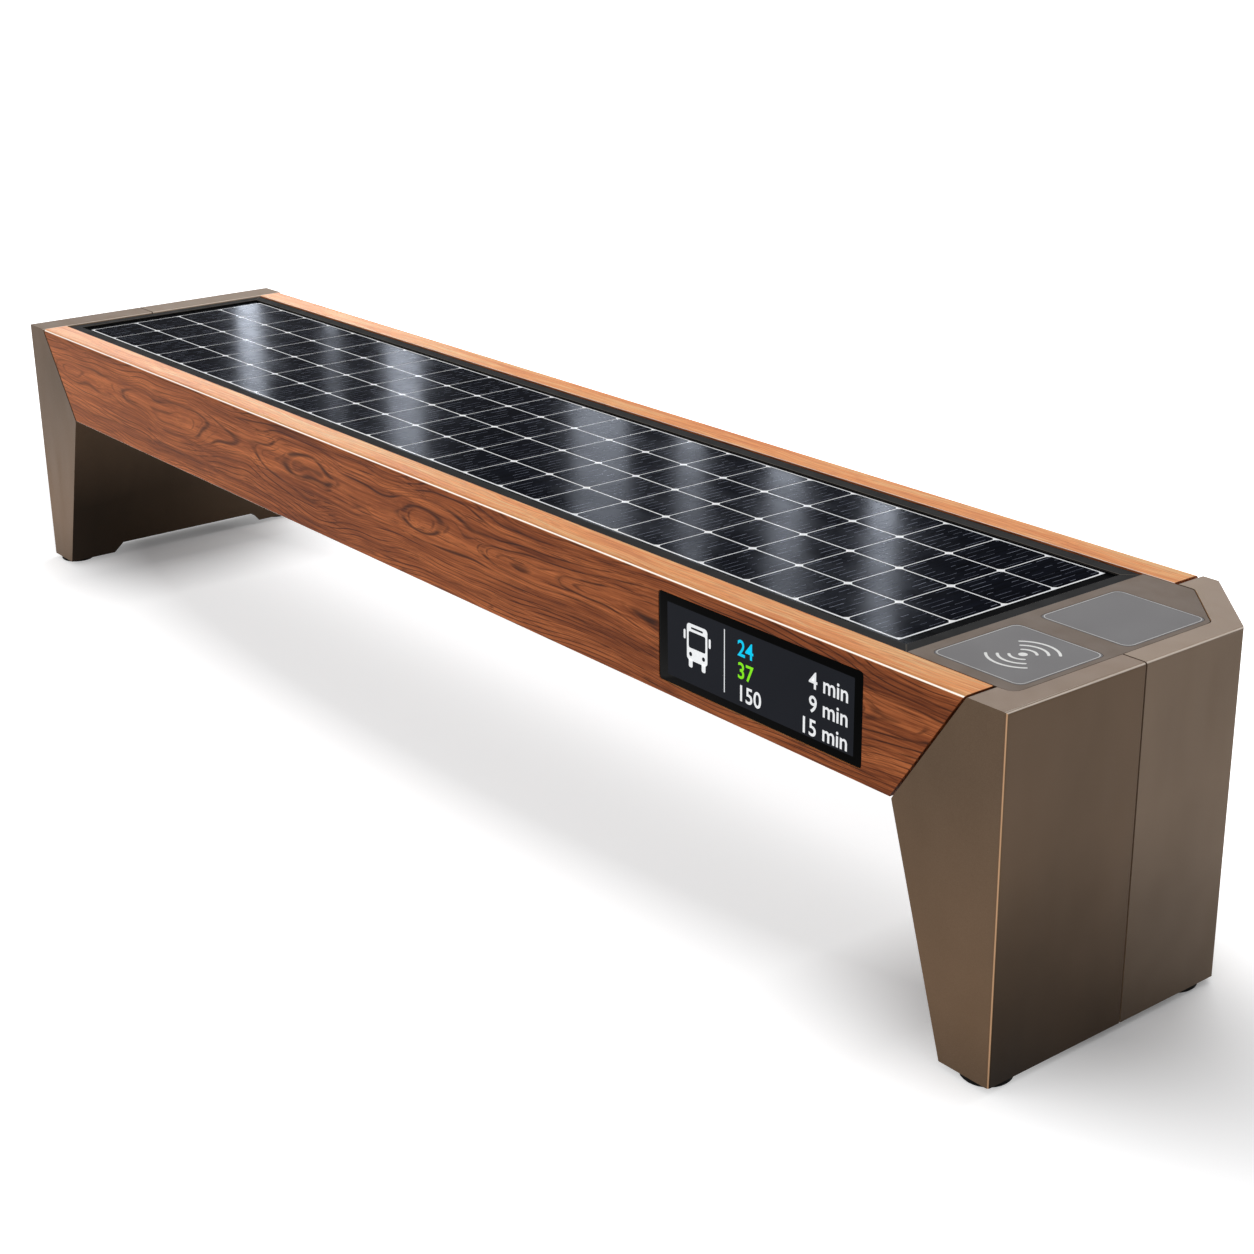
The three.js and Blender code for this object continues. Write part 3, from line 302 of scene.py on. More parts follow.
class Surface(Nodes):
    """A procedural finish being made: its material, its nodes and its shader."""

    def __init__(self, name: str, roughness: float = 0.5, metallic: float = 0.0,
                 specular: float = 0.5) -> None:
        """Starts the finish.

        Args:
            name: the material's name.
            roughness: the shader's roughness before any node changes it.
            metallic: how much of a metal it is, from 0 to 1.
            specular: how strongly it mirrors, 0.5 being usual.
        """
        self.material = bpy.data.materials.new(name)
        self.material.use_nodes = True
        super().__init__(self.material.node_tree)
        self.shader = self.tree.nodes["Principled BSDF"]
        self.shine({"Roughness": roughness, "Metallic": metallic, "Specular IOR Level": specular})
        self.places = self.add("ShaderNodeTexCoord")["Object"]

    def shine(self, inputs: dict[str, object]) -> None:
        """Feeds the shader's inputs by their names."""
        for name, source in inputs.items():
            self.feed(source, self.shader.inputs[name])

    def parts(self, source: object = None) -> list[Socket]:
        """The X, Y and Z of the object's places, or of another vector."""
        return list(self.add("ShaderNodeSeparateXYZ", {0: source or self.places}))

    def stretched(self, scale: Triple, source: object = None) -> Socket:
        """The object's places, in metres, times a scale for each axis."""
        return self.add("ShaderNodeMapping", {"Vector": source or self.places, "Scale": scale})[0]

    def vector(self, operation: str, *sources: object) -> bpy.types.NodeOutputs:
        """The outputs of a sum on vectors."""
        return self.add("ShaderNodeVectorMath", dict(enumerate(sources)), operation=operation)

    def clouds(self, kind: Clouds, source: object = None) -> bpy.types.NodeOutputs:
        """The amount and the colour of clouds, at the object's places or at others."""
        return self.add("ShaderNodeTexNoise", {
            "Vector": self.stretched(kind.scale, source), "Scale": 1.0, "Detail": kind.detail,
            "Roughness": kind.roughness, "Distortion": kind.distortion})

    def noise(self, kind: Clouds, source: object = None) -> Socket:
        """The amount of clouds, from 0 to 1."""
        return self.clouds(kind, source)["Fac"]

    def ramp(self, source: object, stops: list[tuple[float, Tone]]) -> Socket:
        """Turns a value into a colour by stops of (value, tone).

        Args:
            source: the value's socket.
            stops: the stops, the two ends first.

        Returns:
            The colour's socket.
        """
        colour = self.add("ShaderNodeValToRGB", {"Fac": source})[0]
        scale = colour.node.color_ramp.elements
        for i, (place, tone) in enumerate(stops):
            stop = scale[i] if i < 2 else scale.new(place)
            stop.position = place
            stop.color = tone.linear()
        return colour

    def between(self, source: object, low: float, high: float, first: Tone,
                second: Tone) -> Socket:
        """A colour that goes from one tone to another as a value goes from low to high."""
        return self.ramp(self.levels(source, low, high), [(0.0, first), (1.0, second)])

    def mixed(self, share: object, first: object, second: object, way: str = "MIX") -> Socket:
        """Two colours mixed, with this share of the second."""
        return self.add("ShaderNodeMix", {0: share, 6: first, 7: second}, data_type="RGBA",
                        blend_type=way)[2]

    def facing(self) -> list[Socket]:
        """The way the surface faces, as its X, Y and Z."""
        return self.parts(self.add("ShaderNodeNewGeometry")["Normal"])

    def crest(self, first: object, second: object, low: float) -> Socket:
        """The middle of a fold between two ways of facing, from 0 beyond low to 1."""
        turn = self.maths("ABSOLUTE", self.times(first, second))
        return self.levels(self.times(turn, 2.0), low, 1.0)

    def attribute(self, name: str) -> Socket:
        """A number that the mesh carries."""
        return self.add("ShaderNodeAttribute", attribute_name=name)["Fac"]

    def dress(self, colour: object, roughness: object = None, height: object = None,
              depth: float = 0.0, strength: float = 1.0) -> Material:
        """Joins the finish to its shader.

        Args:
            colour: the colour's socket.
            roughness: the roughness' socket, if it varies.
            height: the relief's socket, if it has one.
            depth: the relief's depth, in metres.
            strength: how much of the relief is seen.

        Returns:
            The finished material.
        """
        self.shine({"Base Color": colour})
        if roughness is not None:
            self.shine({"Roughness": roughness})
        if height is not None:
            self.shine({"Normal": self.add("ShaderNodeBump", {
                "Strength": strength, "Distance": depth, "Height": height})["Normal"]})
        return self.material


# Finishes


@dataclass(frozen=True)
class Timber:
    """Oiled reddish hardwood, its grain along the bench; painted light pales its tops and far end,
    and a painted highlight lies on its arrises.
    """

    name: str = "oiled_hardwood"
    vein: Tone = Tone(52, 24, 14)
    heart: Tone = Tone(122, 62, 34)
    body: Tone = Tone(172, 95, 54)
    pale: Tone = Tone(222, 131, 78)
    # Painted light that pales the boards towards the end away from the charger
    left_light_tone: Tone = Tone(255, 148, 74)
    # A lit copy of the tones for upward faces: painted light
    lit_top_vein: Tone = Tone(200, 112, 58)
    lit_top_heart: Tone = Tone(232, 142, 80)
    lit_top_body: Tone = Tone(252, 168, 100)
    lit_top_pale: Tone = Tone(255, 206, 146)
    # The painted highlight's tone on the arrises
    arris_highlight: Tone = Tone(255, 250, 242)
    pore: Tone = Tone(214, 204, 196)
    unmarked: Tone = Tone(255, 255, 255)
    roughness: float = 0.42
    specular: float = 0.06
    heart_line: Point = (0.150, 0.392)
    rings: float = 250.0
    left_light: float = 0.16
    left_light_span: Point = (-0.2, -1.1)
    patches: Clouds = Clouds((2.4, 44, 44), 5, 0.6, 0.35)
    streaks: Clouds = Clouds((4.5, 270, 270), 4, 0.6)
    fibres: Clouds = Clouds((20, 900, 900), 3, 0.7)
    strokes: Clouds = Clouds((8, 420, 420), 3, 0.55)
    strength: Clouds = Clouds((4, 70, 70), 4, 0.65)
    tapering: Clouds = Clouds((1.6, 3.4, 3.4), 2)
    taper: float = 0.08
    wandering: Clouds = Clouds((3.2, 8, 8), 2)
    wander: Triple = (0.05, 0.028, 0.028)
    side_veins: float = 0.88
    top_veins: float = 0.45
    finer_rings: float = 2.6
    relief: float = 0.0005
    relief_share: float = 0.35

    def make(self) -> Material:
        """Makes the material.

        Returns:
            The finished material.
        """
        surface = Surface(self.name, self.roughness, specular=self.specular)
        bent = self.bent(surface)
        patches, streaks, fibres = (surface.noise(kind, bent) for kind in (
            self.patches, self.streaks, self.fibres))
        shade = surface.levels(surface.maths("ADD", surface.times(patches, 0.6),
                                             surface.times(streaks, 0.4)), 0.38, 0.61)
        grain = self.grain(surface, shade, self.veins(surface, self.growth(surface, bent), bent))
        pores = surface.between(fibres, 0.3, 0.62, self.pore, self.unmarked)
        shaded = surface.mixed(1.0, grain, pores, "MULTIPLY")
        arris = self.arris(surface)
        # Painted highlight: the arris is paled and made metallic, so that it mirrors the white room
        edged = surface.mixed(arris, shaded, self.arris_highlight.linear())
        surface.shine({"Metallic": surface.levels(arris, 0.1, 0.5, 0.0, 0.95)})
        relief = surface.maths("ADD", surface.times(fibres, 0.5), surface.times(streaks, 0.5))
        return surface.dress(edged, surface.levels(fibres, 0.2, 0.8, 0.38, 0.55), relief,
                             self.relief, self.relief_share)

    def grain(self, surface: Surface, shade: Socket, veins: Socket) -> Socket:
        """The wood's colour, with a paler lit copy of it on its upward faces as painted light.

        Args:
            surface: the finish being made.
            shade: the wood's shade, from 0 to 1.
            veins: the dark lines, from 0 to 1.

        Returns:
            The colour's socket.
        """
        sides = surface.mixed(surface.times(veins, self.side_veins), surface.ramp(shade, [
            (0.0, self.heart), (1.0, self.pale), (0.4, self.body)]), self.vein.linear())
        # Painted light: the sides pale towards the end away from the charger
        sides = surface.mixed(self.paler(surface), sides, self.left_light_tone.linear())
        # Painted light: the upward faces take the paler lit copy of the tones
        top = surface.mixed(surface.times(veins, self.top_veins), surface.ramp(shade, [
            (0.0, self.lit_top_heart), (1.0, self.lit_top_pale), (0.45, self.lit_top_body)]),
            self.lit_top_vein.linear())
        return surface.mixed(surface.levels(surface.facing()[2], 0.3, 0.95), sides, top)

    def arris(self, surface: Surface) -> Socket:
        """Where a painted highlight lies along the long rounded edges, from 0 to 1."""
        _, across, upward = surface.facing()
        return surface.times(surface.attribute("fold"), surface.crest(across, upward, 0.88))

    def paler(self, surface: Surface) -> Socket:
        """How much painted light pales the boards, more towards the end away from the charger."""
        return surface.levels(surface.parts()[0], *self.left_light_span, 0.0, self.left_light)

    def bent(self, surface: Surface) -> Socket:
        """Places along the grain, bent slowly as the grain wanders.

        Args:
            surface: the finish being made.

        Returns:
            The places' socket.
        """
        warp = surface.clouds(self.wandering)["Color"]
        spread = surface.vector("SUBTRACT", warp, (0.5, 0.5, 0.5))[0]
        return surface.vector("MULTIPLY_ADD", spread, self.wander, surface.places)[0]

    def growth(self, surface: Surface, bent: Socket) -> Socket:
        """How many growth rings lie between a place and the heart of its log.

        Args:
            surface: the finish being made.
            bent: the places along the grain.

        Returns:
            The count's socket.
        """
        _, across, upward = surface.parts(bent)
        across = surface.maths("SUBTRACT", surface.maths("ABSOLUTE", across), self.heart_line[0])
        upward = surface.maths("SUBTRACT", upward, self.heart_line[1])
        reach = surface.maths("SQRT", surface.maths(
            "ADD", surface.times(across, across), surface.times(upward, upward)))
        taper = surface.noise(self.tapering, bent)
        return surface.times(surface.maths("ADD", reach, surface.times(taper, self.taper)),
                             self.rings)

    def veins(self, surface: Surface, growth: Socket, bent: Socket) -> Socket:
        """Thin dark lines along the growth rings that come and go, from 0 to 1.

        Args:
            surface: the finish being made.
            growth: the count of growth rings.
            bent: the places along the grain.

        Returns:
            The lines' socket.
        """
        wave, finer = (surface.maths("SINE", surface.times(growth, math.tau * times))
                       for times in (1.0, self.finer_rings))
        strength = surface.noise(self.strength, bent)
        lines = surface.times(surface.levels(wave, 0.55, 1.0),
                              surface.levels(strength, 0.40, 0.56, 0.15, 1.0))
        thin = surface.times(surface.levels(finer, 0.6, 1.0),
                             surface.levels(strength, 0.60, 0.42, 0.0, 0.7))
        strokes = surface.levels(surface.noise(self.strokes, bent), 0.41, 0.32, 0.0, 0.9)
        return surface.maths("MAXIMUM", surface.maths("MAXIMUM", lines, thin), strokes)


@dataclass(frozen=True)
class MetalCoat:
    """Sprayed metallic coating: fine flakes and slow clouds, with painted highlights on its folds,
    painted sheen on its tops and lower front, and painted shade low on its ends.
    """

    name: str
    base: Tone
    cloud: Tone
    # The painted highlight's tone on the upright folds
    fold: Tone
    metallic: float = 0.12
    specular: float = 0.06
    smooth: float = 0.34
    rough: float = 0.46
    # How strongly the painted highlights show, and the pale painted highlight on upper edges
    folds: float = 1.0
    brim_highlight: Tone = Tone(242, 228, 214)
    brim_highlights: float = 0.85
    # Painted sheen that lightens the lower front faces
    front_sheen_tone: Tone = Tone(205, 160, 120)
    front_sheen: float = 0.14
    # Painted shade: its tone, its strength, and how high it reaches, higher on the far leg
    shade_tone: Tone = Tone(22, 17, 13)
    darkened: float = 0.85
    shade_height: float = 0.30
    inner_shade_rise: float = 0.11
    # Painted sheen that pales the upward faces
    top_sheen_tone: Tone = Tone(225, 205, 190)
    top_sheen: float = 0.13
    between_flakes: Tone = Tone(226, 224, 222)
    flake: Tone = Tone(255, 255, 255)
    clouds: Clouds = Clouds((5, 5, 3.2), 3, 0.55, 0.3)
    flakes: Clouds = Clouds((1500, 1500, 1500), 2, 0.6)
    wipes: Clouds = Clouds((30, 30, 7))
    relief: float = 0.0001
    relief_share: float = 0.18

    def make(self) -> Material:
        """Makes the material.

        Returns:
            The finished material.
        """
        surface = Surface(self.name, metallic=self.metallic, specular=self.specular)
        clouds, flakes, wipes = (surface.noise(kind) for kind in (
            self.clouds, self.flakes, self.wipes))
        toned = surface.between(clouds, 0.3, 0.7, self.base, self.cloud)
        glints = surface.between(flakes, 0.3, 0.72, self.between_flakes, self.flake)
        coat = surface.mixed(1.0, toned, glints, "MULTIPLY")
        # Painted sheen: upward faces made paler
        top_sheen_share = surface.levels(surface.facing()[2], 0.9, 0.99, 0.0, self.top_sheen)
        # Painted shade low on the ends, and painted sheen on the lower front faces, mixed into the
        # coat
        for share, tone in ((self.painted_shade(surface, clouds), self.shade_tone),
                            (self.painted_front_sheen(surface), self.front_sheen_tone), (top_sheen_share, self.top_sheen_tone)):
            coat = surface.mixed(share, coat, tone.linear())
        roughness = surface.levels(wipes, 0.3, 0.7, self.smooth, self.rough)
        return surface.dress(self.edged(surface, coat, wipes), roughness, flakes, self.relief,
                             self.relief_share)

    def edged(self, surface: Surface, coat: Socket, wipes: Socket) -> Socket:
        """Paints highlights on the folds, warm on the upright ones and pale on the upper ones.

        Args:
            surface: the finish being made.
            coat: the colour of the faces.
            wipes: slow clouds along which the brightness varies.

        Returns:
            The colour's socket.
        """
        highlight_mask = surface.times(surface.attribute("fold"),
                             surface.levels(wipes, 0.25, 0.6, 0.75, 1.0))
        x, y, z = surface.facing()
        level = surface.maths("SQRT", surface.maths("SUBTRACT", 1.0, surface.times(z, z),
                                                    clamp=True))
        shining = surface.times(highlight_mask, self.folds)
        upright = surface.times(shining, surface.crest(x, y, 0.70))
        edged = surface.mixed(upright, coat, self.fold.linear())
        upper = surface.times(shining, surface.crest(level, z, 0.6))
        return surface.mixed(surface.times(upper, self.brim_highlights), edged, self.brim_highlight.linear())

    def painted_front_sheen(self, surface: Surface) -> Socket:
        """Painted sheen: how much the lower front faces are lightened, from 0 to 1.

        Args:
            surface: the finish being made.

        Returns:
            The share's socket.
        """
        height = surface.parts()[2]
        ahead = surface.levels(surface.facing()[1], -0.5, -0.95)
        band = surface.times(surface.levels(height, 0.36, 0.13),
                             surface.levels(height, 0.0, 0.08, 0.3, 1.0))
        return surface.times(surface.times(ahead, band), self.front_sheen)

    def painted_shade(self, surface: Surface, clouds: Socket) -> Socket:
        """Painted shade that darkens faces towards the charging end near the ground, from 0 to 1.

        Args:
            surface: the finish being made.
            clouds: what makes the painted shade uneven.

        Returns:
            The share's socket.
        """
        x, y, z = surface.parts()
        ends = surface.levels(surface.facing()[0], 0.3, 0.9)
        inside = surface.levels(x, 0.5, -0.5, 0.0, self.inner_shade_rise)
        height = surface.maths("SUBTRACT", surface.maths(
            "ADD", z, surface.times(clouds, 0.06)), inside)
        front = surface.levels(y, -0.2, 0.25, 1.0, 0.3)
        low = surface.levels(height, self.shade_height, 0.04, 0.0, self.darkened)
        return surface.times(surface.times(ends, front), low)


@dataclass(frozen=True)
class Zinc:
    """Hot-dipped zinc: grey crystals of several shades."""

    name: str = "zinc_on_steel"
    pale: Tone = Tone(186, 190, 194)
    dull: Tone = Tone(138, 143, 148)
    crystals: float = 95.0
    stains: Clouds = Clouds((11, 11, 11), 5)
    relief: float = 0.0004
    relief_share: float = 0.15

    def make(self) -> Material:
        """Makes the material.

        Returns:
            The finished material.
        """
        surface = Surface(self.name, metallic=0.85)
        crystal = surface.add("ShaderNodeTexVoronoi", {
            "Scale": self.crystals, "Vector": surface.places}, feature="F1")
        shade = surface.add("ShaderNodeSeparateColor", {0: crystal["Color"]})
        stains = surface.noise(self.stains)
        crystals = surface.ramp(shade[0], [(0.0, self.dull), (1.0, self.pale)])
        colour = surface.mixed(surface.levels(stains, 0.4, 0.75, 0.0, 0.4), crystals,
                               self.dull.linear())
        return surface.dress(colour, surface.levels(shade[1], 0, 1, 0.34, 0.55),
                             crystal["Distance"], self.relief, self.relief_share)


@dataclass(frozen=True)
class Moulded:
    """A moulded, sprayed or pressed surface with a fine texture and slight soiling."""

    name: str
    base: Tone
    soiled: Tone
    grain: float = 900.0
    depth: float = 0.0002
    smooth: float = 0.45
    rough: float = 0.65
    metallic: float = 0.0
    specular: float = 0.5
    pit: Tone = Tone(232, 232, 232)
    unpitted: Tone = Tone(255, 255, 255)
    soil: Clouds = Clouds((14, 14, 14), 5, 0.6)
    relief_share: float = 0.3

    def make(self) -> Material:
        """Makes the material.

        Returns:
            The finished material.
        """
        surface = Surface(self.name, metallic=self.metallic, specular=self.specular)
        texture = surface.noise(Clouds((self.grain,) * 3, 3, 0.6))
        soil = surface.noise(self.soil)
        toned = surface.between(soil, 0.35, 0.75, self.base, self.soiled)
        specks = surface.between(texture, 0.25, 0.75, self.pit, self.unpitted)
        colour = surface.mixed(1.0, toned, specks, "MULTIPLY")
        return surface.dress(colour, surface.levels(soil, 0.3, 0.7, self.smooth, self.rough),
                             texture, self.depth, self.relief_share)


@dataclass(frozen=True)
class UnderGlass:
    """A layer seen through the panel's smooth, non-glaring glass."""

    name: str
    base: Tone
    other: Tone
    scale: Triple = (8, 60, 8)
    smears: Clouds = Clouds((7, 22, 7))
    ripples: Clouds = Clouds((45, 45, 45), 2)
    relief: float = 0.0002
    relief_share: float = 0.1
    refraction: float = 1.013
    smooth: float = 0.10
    rough: float = 0.17

    def make(self) -> Material:
        """Makes the material.

        Returns:
            The finished material.
        """
        surface = Surface(self.name)
        surface.shine({"IOR": self.refraction})
        drift = surface.noise(Clouds(self.scale, 5, 0.6, 0.4))
        colour = surface.between(drift, 0.32, 0.72, self.base, self.other)
        gloss = surface.levels(surface.noise(self.smears), 0.3, 0.7, self.smooth, self.rough)
        return surface.dress(colour, gloss, surface.noise(self.ripples), self.relief,
                             self.relief_share)


@dataclass(frozen=True)
class Winding:
    """Enamelled copper wire, wound round a centre."""

    name: str
    centre: Triple
    turns: float = 620.0
    wire: Tone = Tone(196, 118, 62)
    gap: Tone = Tone(96, 48, 22)
    tarnish: Clouds = Clouds((60, 60, 60), 3)
    relief: float = 0.0006
    relief_share: float = 0.5

    def make(self) -> Material:
        """Makes the material.

        Returns:
            The finished material.
        """
        surface = Surface(self.name, roughness=0.3, metallic=0.9)
        reach = surface.vector("DISTANCE", surface.places, self.centre)["Value"]
        wave = surface.maths("SINE", surface.times(reach, self.turns * math.tau))
        strand = surface.levels(wave, -0.9, 0.5)
        tarnish = surface.noise(self.tarnish)
        wires = surface.ramp(strand, [(0.0, self.gap), (1.0, self.wire)])
        colour = surface.mixed(surface.levels(tarnish, 0.4, 0.8, 0.0, 0.4), wires,
                               self.gap.linear())
        return surface.dress(colour, surface.levels(tarnish, 0.3, 0.7, 0.25, 0.4), strand,
                             self.relief, self.relief_share)


@dataclass(frozen=True)
class Lit:
    """Part of the display's picture: coloured light behind smooth glass."""

    name: str
    tone: Tone
    glow: float
    dots: Clouds = Clouds((900, 900, 900), 1)
    broad: Clouds = Clouds((9, 9, 9), 2)
    roughness: float = 0.16
    specular: float = 0.015

    def make(self) -> Material:
        """Makes the material.

        Returns:
            The finished material.
        """
        surface = Surface(self.name, self.roughness, specular=self.specular)
        dots = surface.noise(self.dots)
        broad = surface.noise(self.broad)
        shade = surface.times(surface.levels(dots, 0.3, 0.7, 0.93, 1.0),
                              surface.levels(broad, 0.3, 0.7, 0.9, 1.0))
        weights = surface.add("ShaderNodeCombineXYZ", {0: shade, 1: shade, 2: shade})[0]
        colour = surface.mixed(1.0, self.tone.linear(), weights, "MULTIPLY")
        surface.shine({"Emission Color": colour, "Emission Strength": self.glow})
        return surface.dress(colour, surface.levels(broad, 0.3, 0.7, 0.12, 0.2))


@dataclass(frozen=True)
class Plated:
    """Bright plated steel with fine turning marks and dulled patches."""

    name: str = "plated_steel"
    bright: Tone = Tone(206, 208, 210)
    darkened: Tone = Tone(150, 152, 155)
    marks: Clouds = Clouds((160, 160, 2600), 3)
    patches: Clouds = Clouds((90, 90, 90), 3)
    relief: float = 0.0001
    relief_share: float = 0.25

    def make(self) -> Material:
        """Makes the material.

        Returns:
            The finished material.
        """
        surface = Surface(self.name, metallic=0.95)
        patches = surface.noise(self.patches)
        colour = surface.between(patches, 0.35, 0.8, self.bright, self.darkened)
        return surface.dress(colour, surface.levels(patches, 0.3, 0.7, 0.2, 0.38),
                             surface.noise(self.marks), self.relief, self.relief_share)


# Meshes


@dataclass(frozen=True)
class Dressing:
    """What a new piece wears and moves with."""

    material: Material
    slot: Slot
    body: str = "bench"
    stands_for: tuple[str, ...] = ()

    def put_on(self, name: str, mesh: Mesh) -> Piece:
        """Shows a mesh as a piece.

        Args:
            name: the piece's name.
            mesh: its mesh, in metres.

        Returns:
            The piece.
        """
        mesh.materials.clear()
        mesh.materials.append(self.material)
        piece = bpy.data.objects.new(name, mesh)
        bpy.context.scene.collection.objects.link(piece)
        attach(piece, self.body)
        if self.stands_for:
            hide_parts(*self.stands_for)
        LOG.info("made %s, %d faces", name, len(mesh.polygons))
        return piece

    def show(self, name: str, form: "Form") -> Piece:
        """Shows a form as a piece of the same name."""
        return self.put_on(name, form.done(name))


class Form:
    """A mesh being built, in millimetres."""

    def __init__(self) -> None:
        """Starts an empty mesh."""
        self.mesh = bmesh.new()

    def loop(self, points: Outline, depth: float, facing: Facing) -> Loop:
        """Adds an outline's points at a depth."""
        return [self.mesh.verts.new(facing.place(a, b, depth)) for a, b in points]

    def wall(self, low: Loop, high: Loop) -> None:
        """Joins two loops of as many points with faces.

        Args:
            low: the first loop.
            high: the loop above it.
        """
        for i, vertex in enumerate(low):
            j = (i + 1) % len(low)
            self.mesh.faces.new((vertex, low[j], high[j], high[i]))

    def slab(self, outline: Outline, layer: Layer, rim: float = 0.0) -> None:
        """Adds a closed plate.

        Args:
            outline: its outline, anticlockwise.
            layer: where it lies.
            rim: how much the face's edge is eased.
        """
        turn = rim * EASED_SHARE
        levels = [(outline, layer.low), (outline, layer.high)]
        if rim:
            levels[1:] = [(outline, layer.high - rim),
                          (drawn_in(outline, turn), layer.high - turn),
                          (drawn_in(outline, rim), layer.high)]
        self.close([self.loop(points, depth, layer.facing) for points, depth in levels])

    def close(self, loops: list[Loop]) -> None:
        """Joins loops in their order and closes both ends.

        Args:
            loops: loops of as many points.
        """
        for below, above in zip(loops, loops[1:]):
            self.wall(below, above)
        self.mesh.faces.new(list(reversed(loops[0])))
        self.mesh.faces.new(loops[-1])

    def ring(self, outer: Outline, inner: Outline, layer: Layer) -> None:
        """Adds a closed frame between two outlines of as many points.

        Args:
            outer: the outer outline.
            inner: the inner outline.
            layer: where it lies.
        """
        loops = [self.loop(outline, depth, layer.facing) for outline, depth in (
            (outer, layer.low), (outer, layer.high), (inner, layer.high), (inner, layer.low))]
        for here, there in zip(loops, loops[1:] + loops[:1]):
            self.wall(here, there)

    def turned(self, profile: list[Point], centre: Point, facing: Facing,
               sides: int = 20) -> None:
        """Adds a closed round form from its (radius, depth) points, radii above 0."""
        self.close([self.loop(circle(centre, radius, sides), depth, facing)
                    for radius, depth in profile])

    def lettering(self, text: str, height: float, place: Point, layer: Layer,
                  rightwards: bool = True) -> None:
        """Adds plain figures or letters.

        Args:
            text: what they say.
            height: the figures' height.
            place: where the line starts, or ends if it runs leftwards.
            layer: where they lie.
            rightwards: whether the line runs to the right from its place.
        """
        curve = bpy.data.curves.new("figures", "FONT")
        curve.body = text
        curve.align_x = "LEFT" if rightwards else "RIGHT"
        curve.resolution_u = 4
        curve.offset = FIGURE_WEIGHT
        curve.extrude = 0.5
        carrier = bpy.data.objects.new("figures", curve)
        bpy.context.scene.collection.objects.link(carrier)
        bpy.context.view_layer.update()
        figures = bpy.data.meshes.new_from_object(
            carrier.evaluated_get(bpy.context.evaluated_depsgraph_get()))
        scale = height / FIGURE_HEIGHT
        for vertex in figures.vertices:
            a, b, depth = vertex.co
            vertex.co = layer.facing.place(
                place[0] + a * scale, place[1] + b * scale,
                layer.low + (layer.high - layer.low) * (depth + 0.5))
        self.mesh.from_mesh(figures)
        bpy.data.objects.remove(carrier)
        bpy.data.curves.remove(curve)
        bpy.data.meshes.remove(figures)

    def done(self, name: str, crease: float = 40.0) -> Mesh:
        """Turns the form into a mesh in metres.

        Args:
            name: the mesh's name.
            crease: the angle, in degrees, from which an edge stays sharp.

        Returns:
            The mesh.
        """
        bmesh.ops.scale(self.mesh, vec=Vector((MILLIMETRE,) * 3), verts=self.mesh.verts)
        bmesh.ops.remove_doubles(self.mesh, verts=self.mesh.verts, dist=WELD / 10)
        mesh = bpy.data.meshes.new(name)
        self.mesh.to_mesh(mesh)
        self.mesh.free()
        mesh.shade_smooth()
        mesh.set_sharp_from_angle(angle=math.radians(crease))
        return mesh


@dataclass(frozen=True)
class Easing:
    """How a CAD node's hard edges are eased, and its folds marked for a painted highlight."""

    rim: float = 0.8
    sharp: float = 50.0
    soft: float = 4.0
    level: float = 0.5
    crease_margin: float = 5.0
    shortest_in_rims: float = 5.0
    fold_width: float = 4.0
    fade: float = 0.6
    edge_share: float = 0.3
    segments: int = 2

    def eased(self, node: str) -> Mesh:
        """Copies a CAD node's mesh and eases it.

        Args:
            node: the CAD node's name.

        Returns:
            The new mesh, whose faces carry the number fold, which places the painted highlight.
        """
        shape = bmesh.new()
        shape.from_mesh(bpy.data.objects[node].data)
        bmesh.ops.remove_doubles(shape, verts=shape.verts, dist=WELD)
        bmesh.ops.dissolve_limit(shape, angle_limit=math.radians(self.level), verts=shape.verts,
                                 edges=shape.edges)
        rim = self.rim * MILLIMETRE
        fold = shape.faces.layers.float.new("fold")
        shape.faces.ensure_lookup_table()
        folds = {face.index for face in shape.faces if self.is_fold(face)}
        for face in shape.faces:
            beside = sum(other.index in folds for edge in face.edges
                         for other in edge.link_faces if other is not face)
            face[fold] = 0.0 if face.index not in folds else 1.0 if beside >= 2 else self.fade
        edges = [edge for edge in shape.edges if self.is_hard(edge, rim)]
        eased = bmesh.ops.bevel(shape, geom=edges, offset=rim, offset_type="OFFSET",
                                segments=self.segments, profile=0.5, affect="EDGES",
                                clamp_overlap=True)
        # Eased edges take a weaker painted highlight
        for face in eased["faces"]:
            face[fold] = self.edge_share
        mesh = bpy.data.meshes.new(node + "_eased")
        shape.to_mesh(mesh)
        shape.free()
        mesh.shade_smooth()
        mesh.set_sharp_from_angle(angle=math.radians(self.sharp - self.crease_margin))
        return mesh

    def is_hard(self, edge: bmesh.types.BMEdge, rim: float) -> bool:
        """Whether an edge is an outer edge that is sharp enough and long enough to ease.

        Args:
            edge: the edge.
            rim: how wide it would be eased, in metres.

        Returns:
            Whether it is.
        """
        shortest = rim * self.shortest_in_rims
        if len(edge.link_faces) != 2 or not edge.is_convex or edge.calc_length() < shortest:
            return False
        return edge.calc_face_angle() > math.radians(self.sharp)

    def is_fold(self, face: bmesh.types.BMFace) -> bool:
        """Whether a face is a narrow facet of a rounded fold.

        Args:
            face: the face.

        Returns:
            Whether it is.
        """
        longest = max(edge.calc_length() for edge in face.edges)
        if face.calc_area() / longest > self.fold_width * MILLIMETRE:
            return False
        least, most = math.radians(self.soft), math.radians(self.sharp)
        return sum(least < edge.calc_face_angle(0) < most for edge in face.edges) >= 2


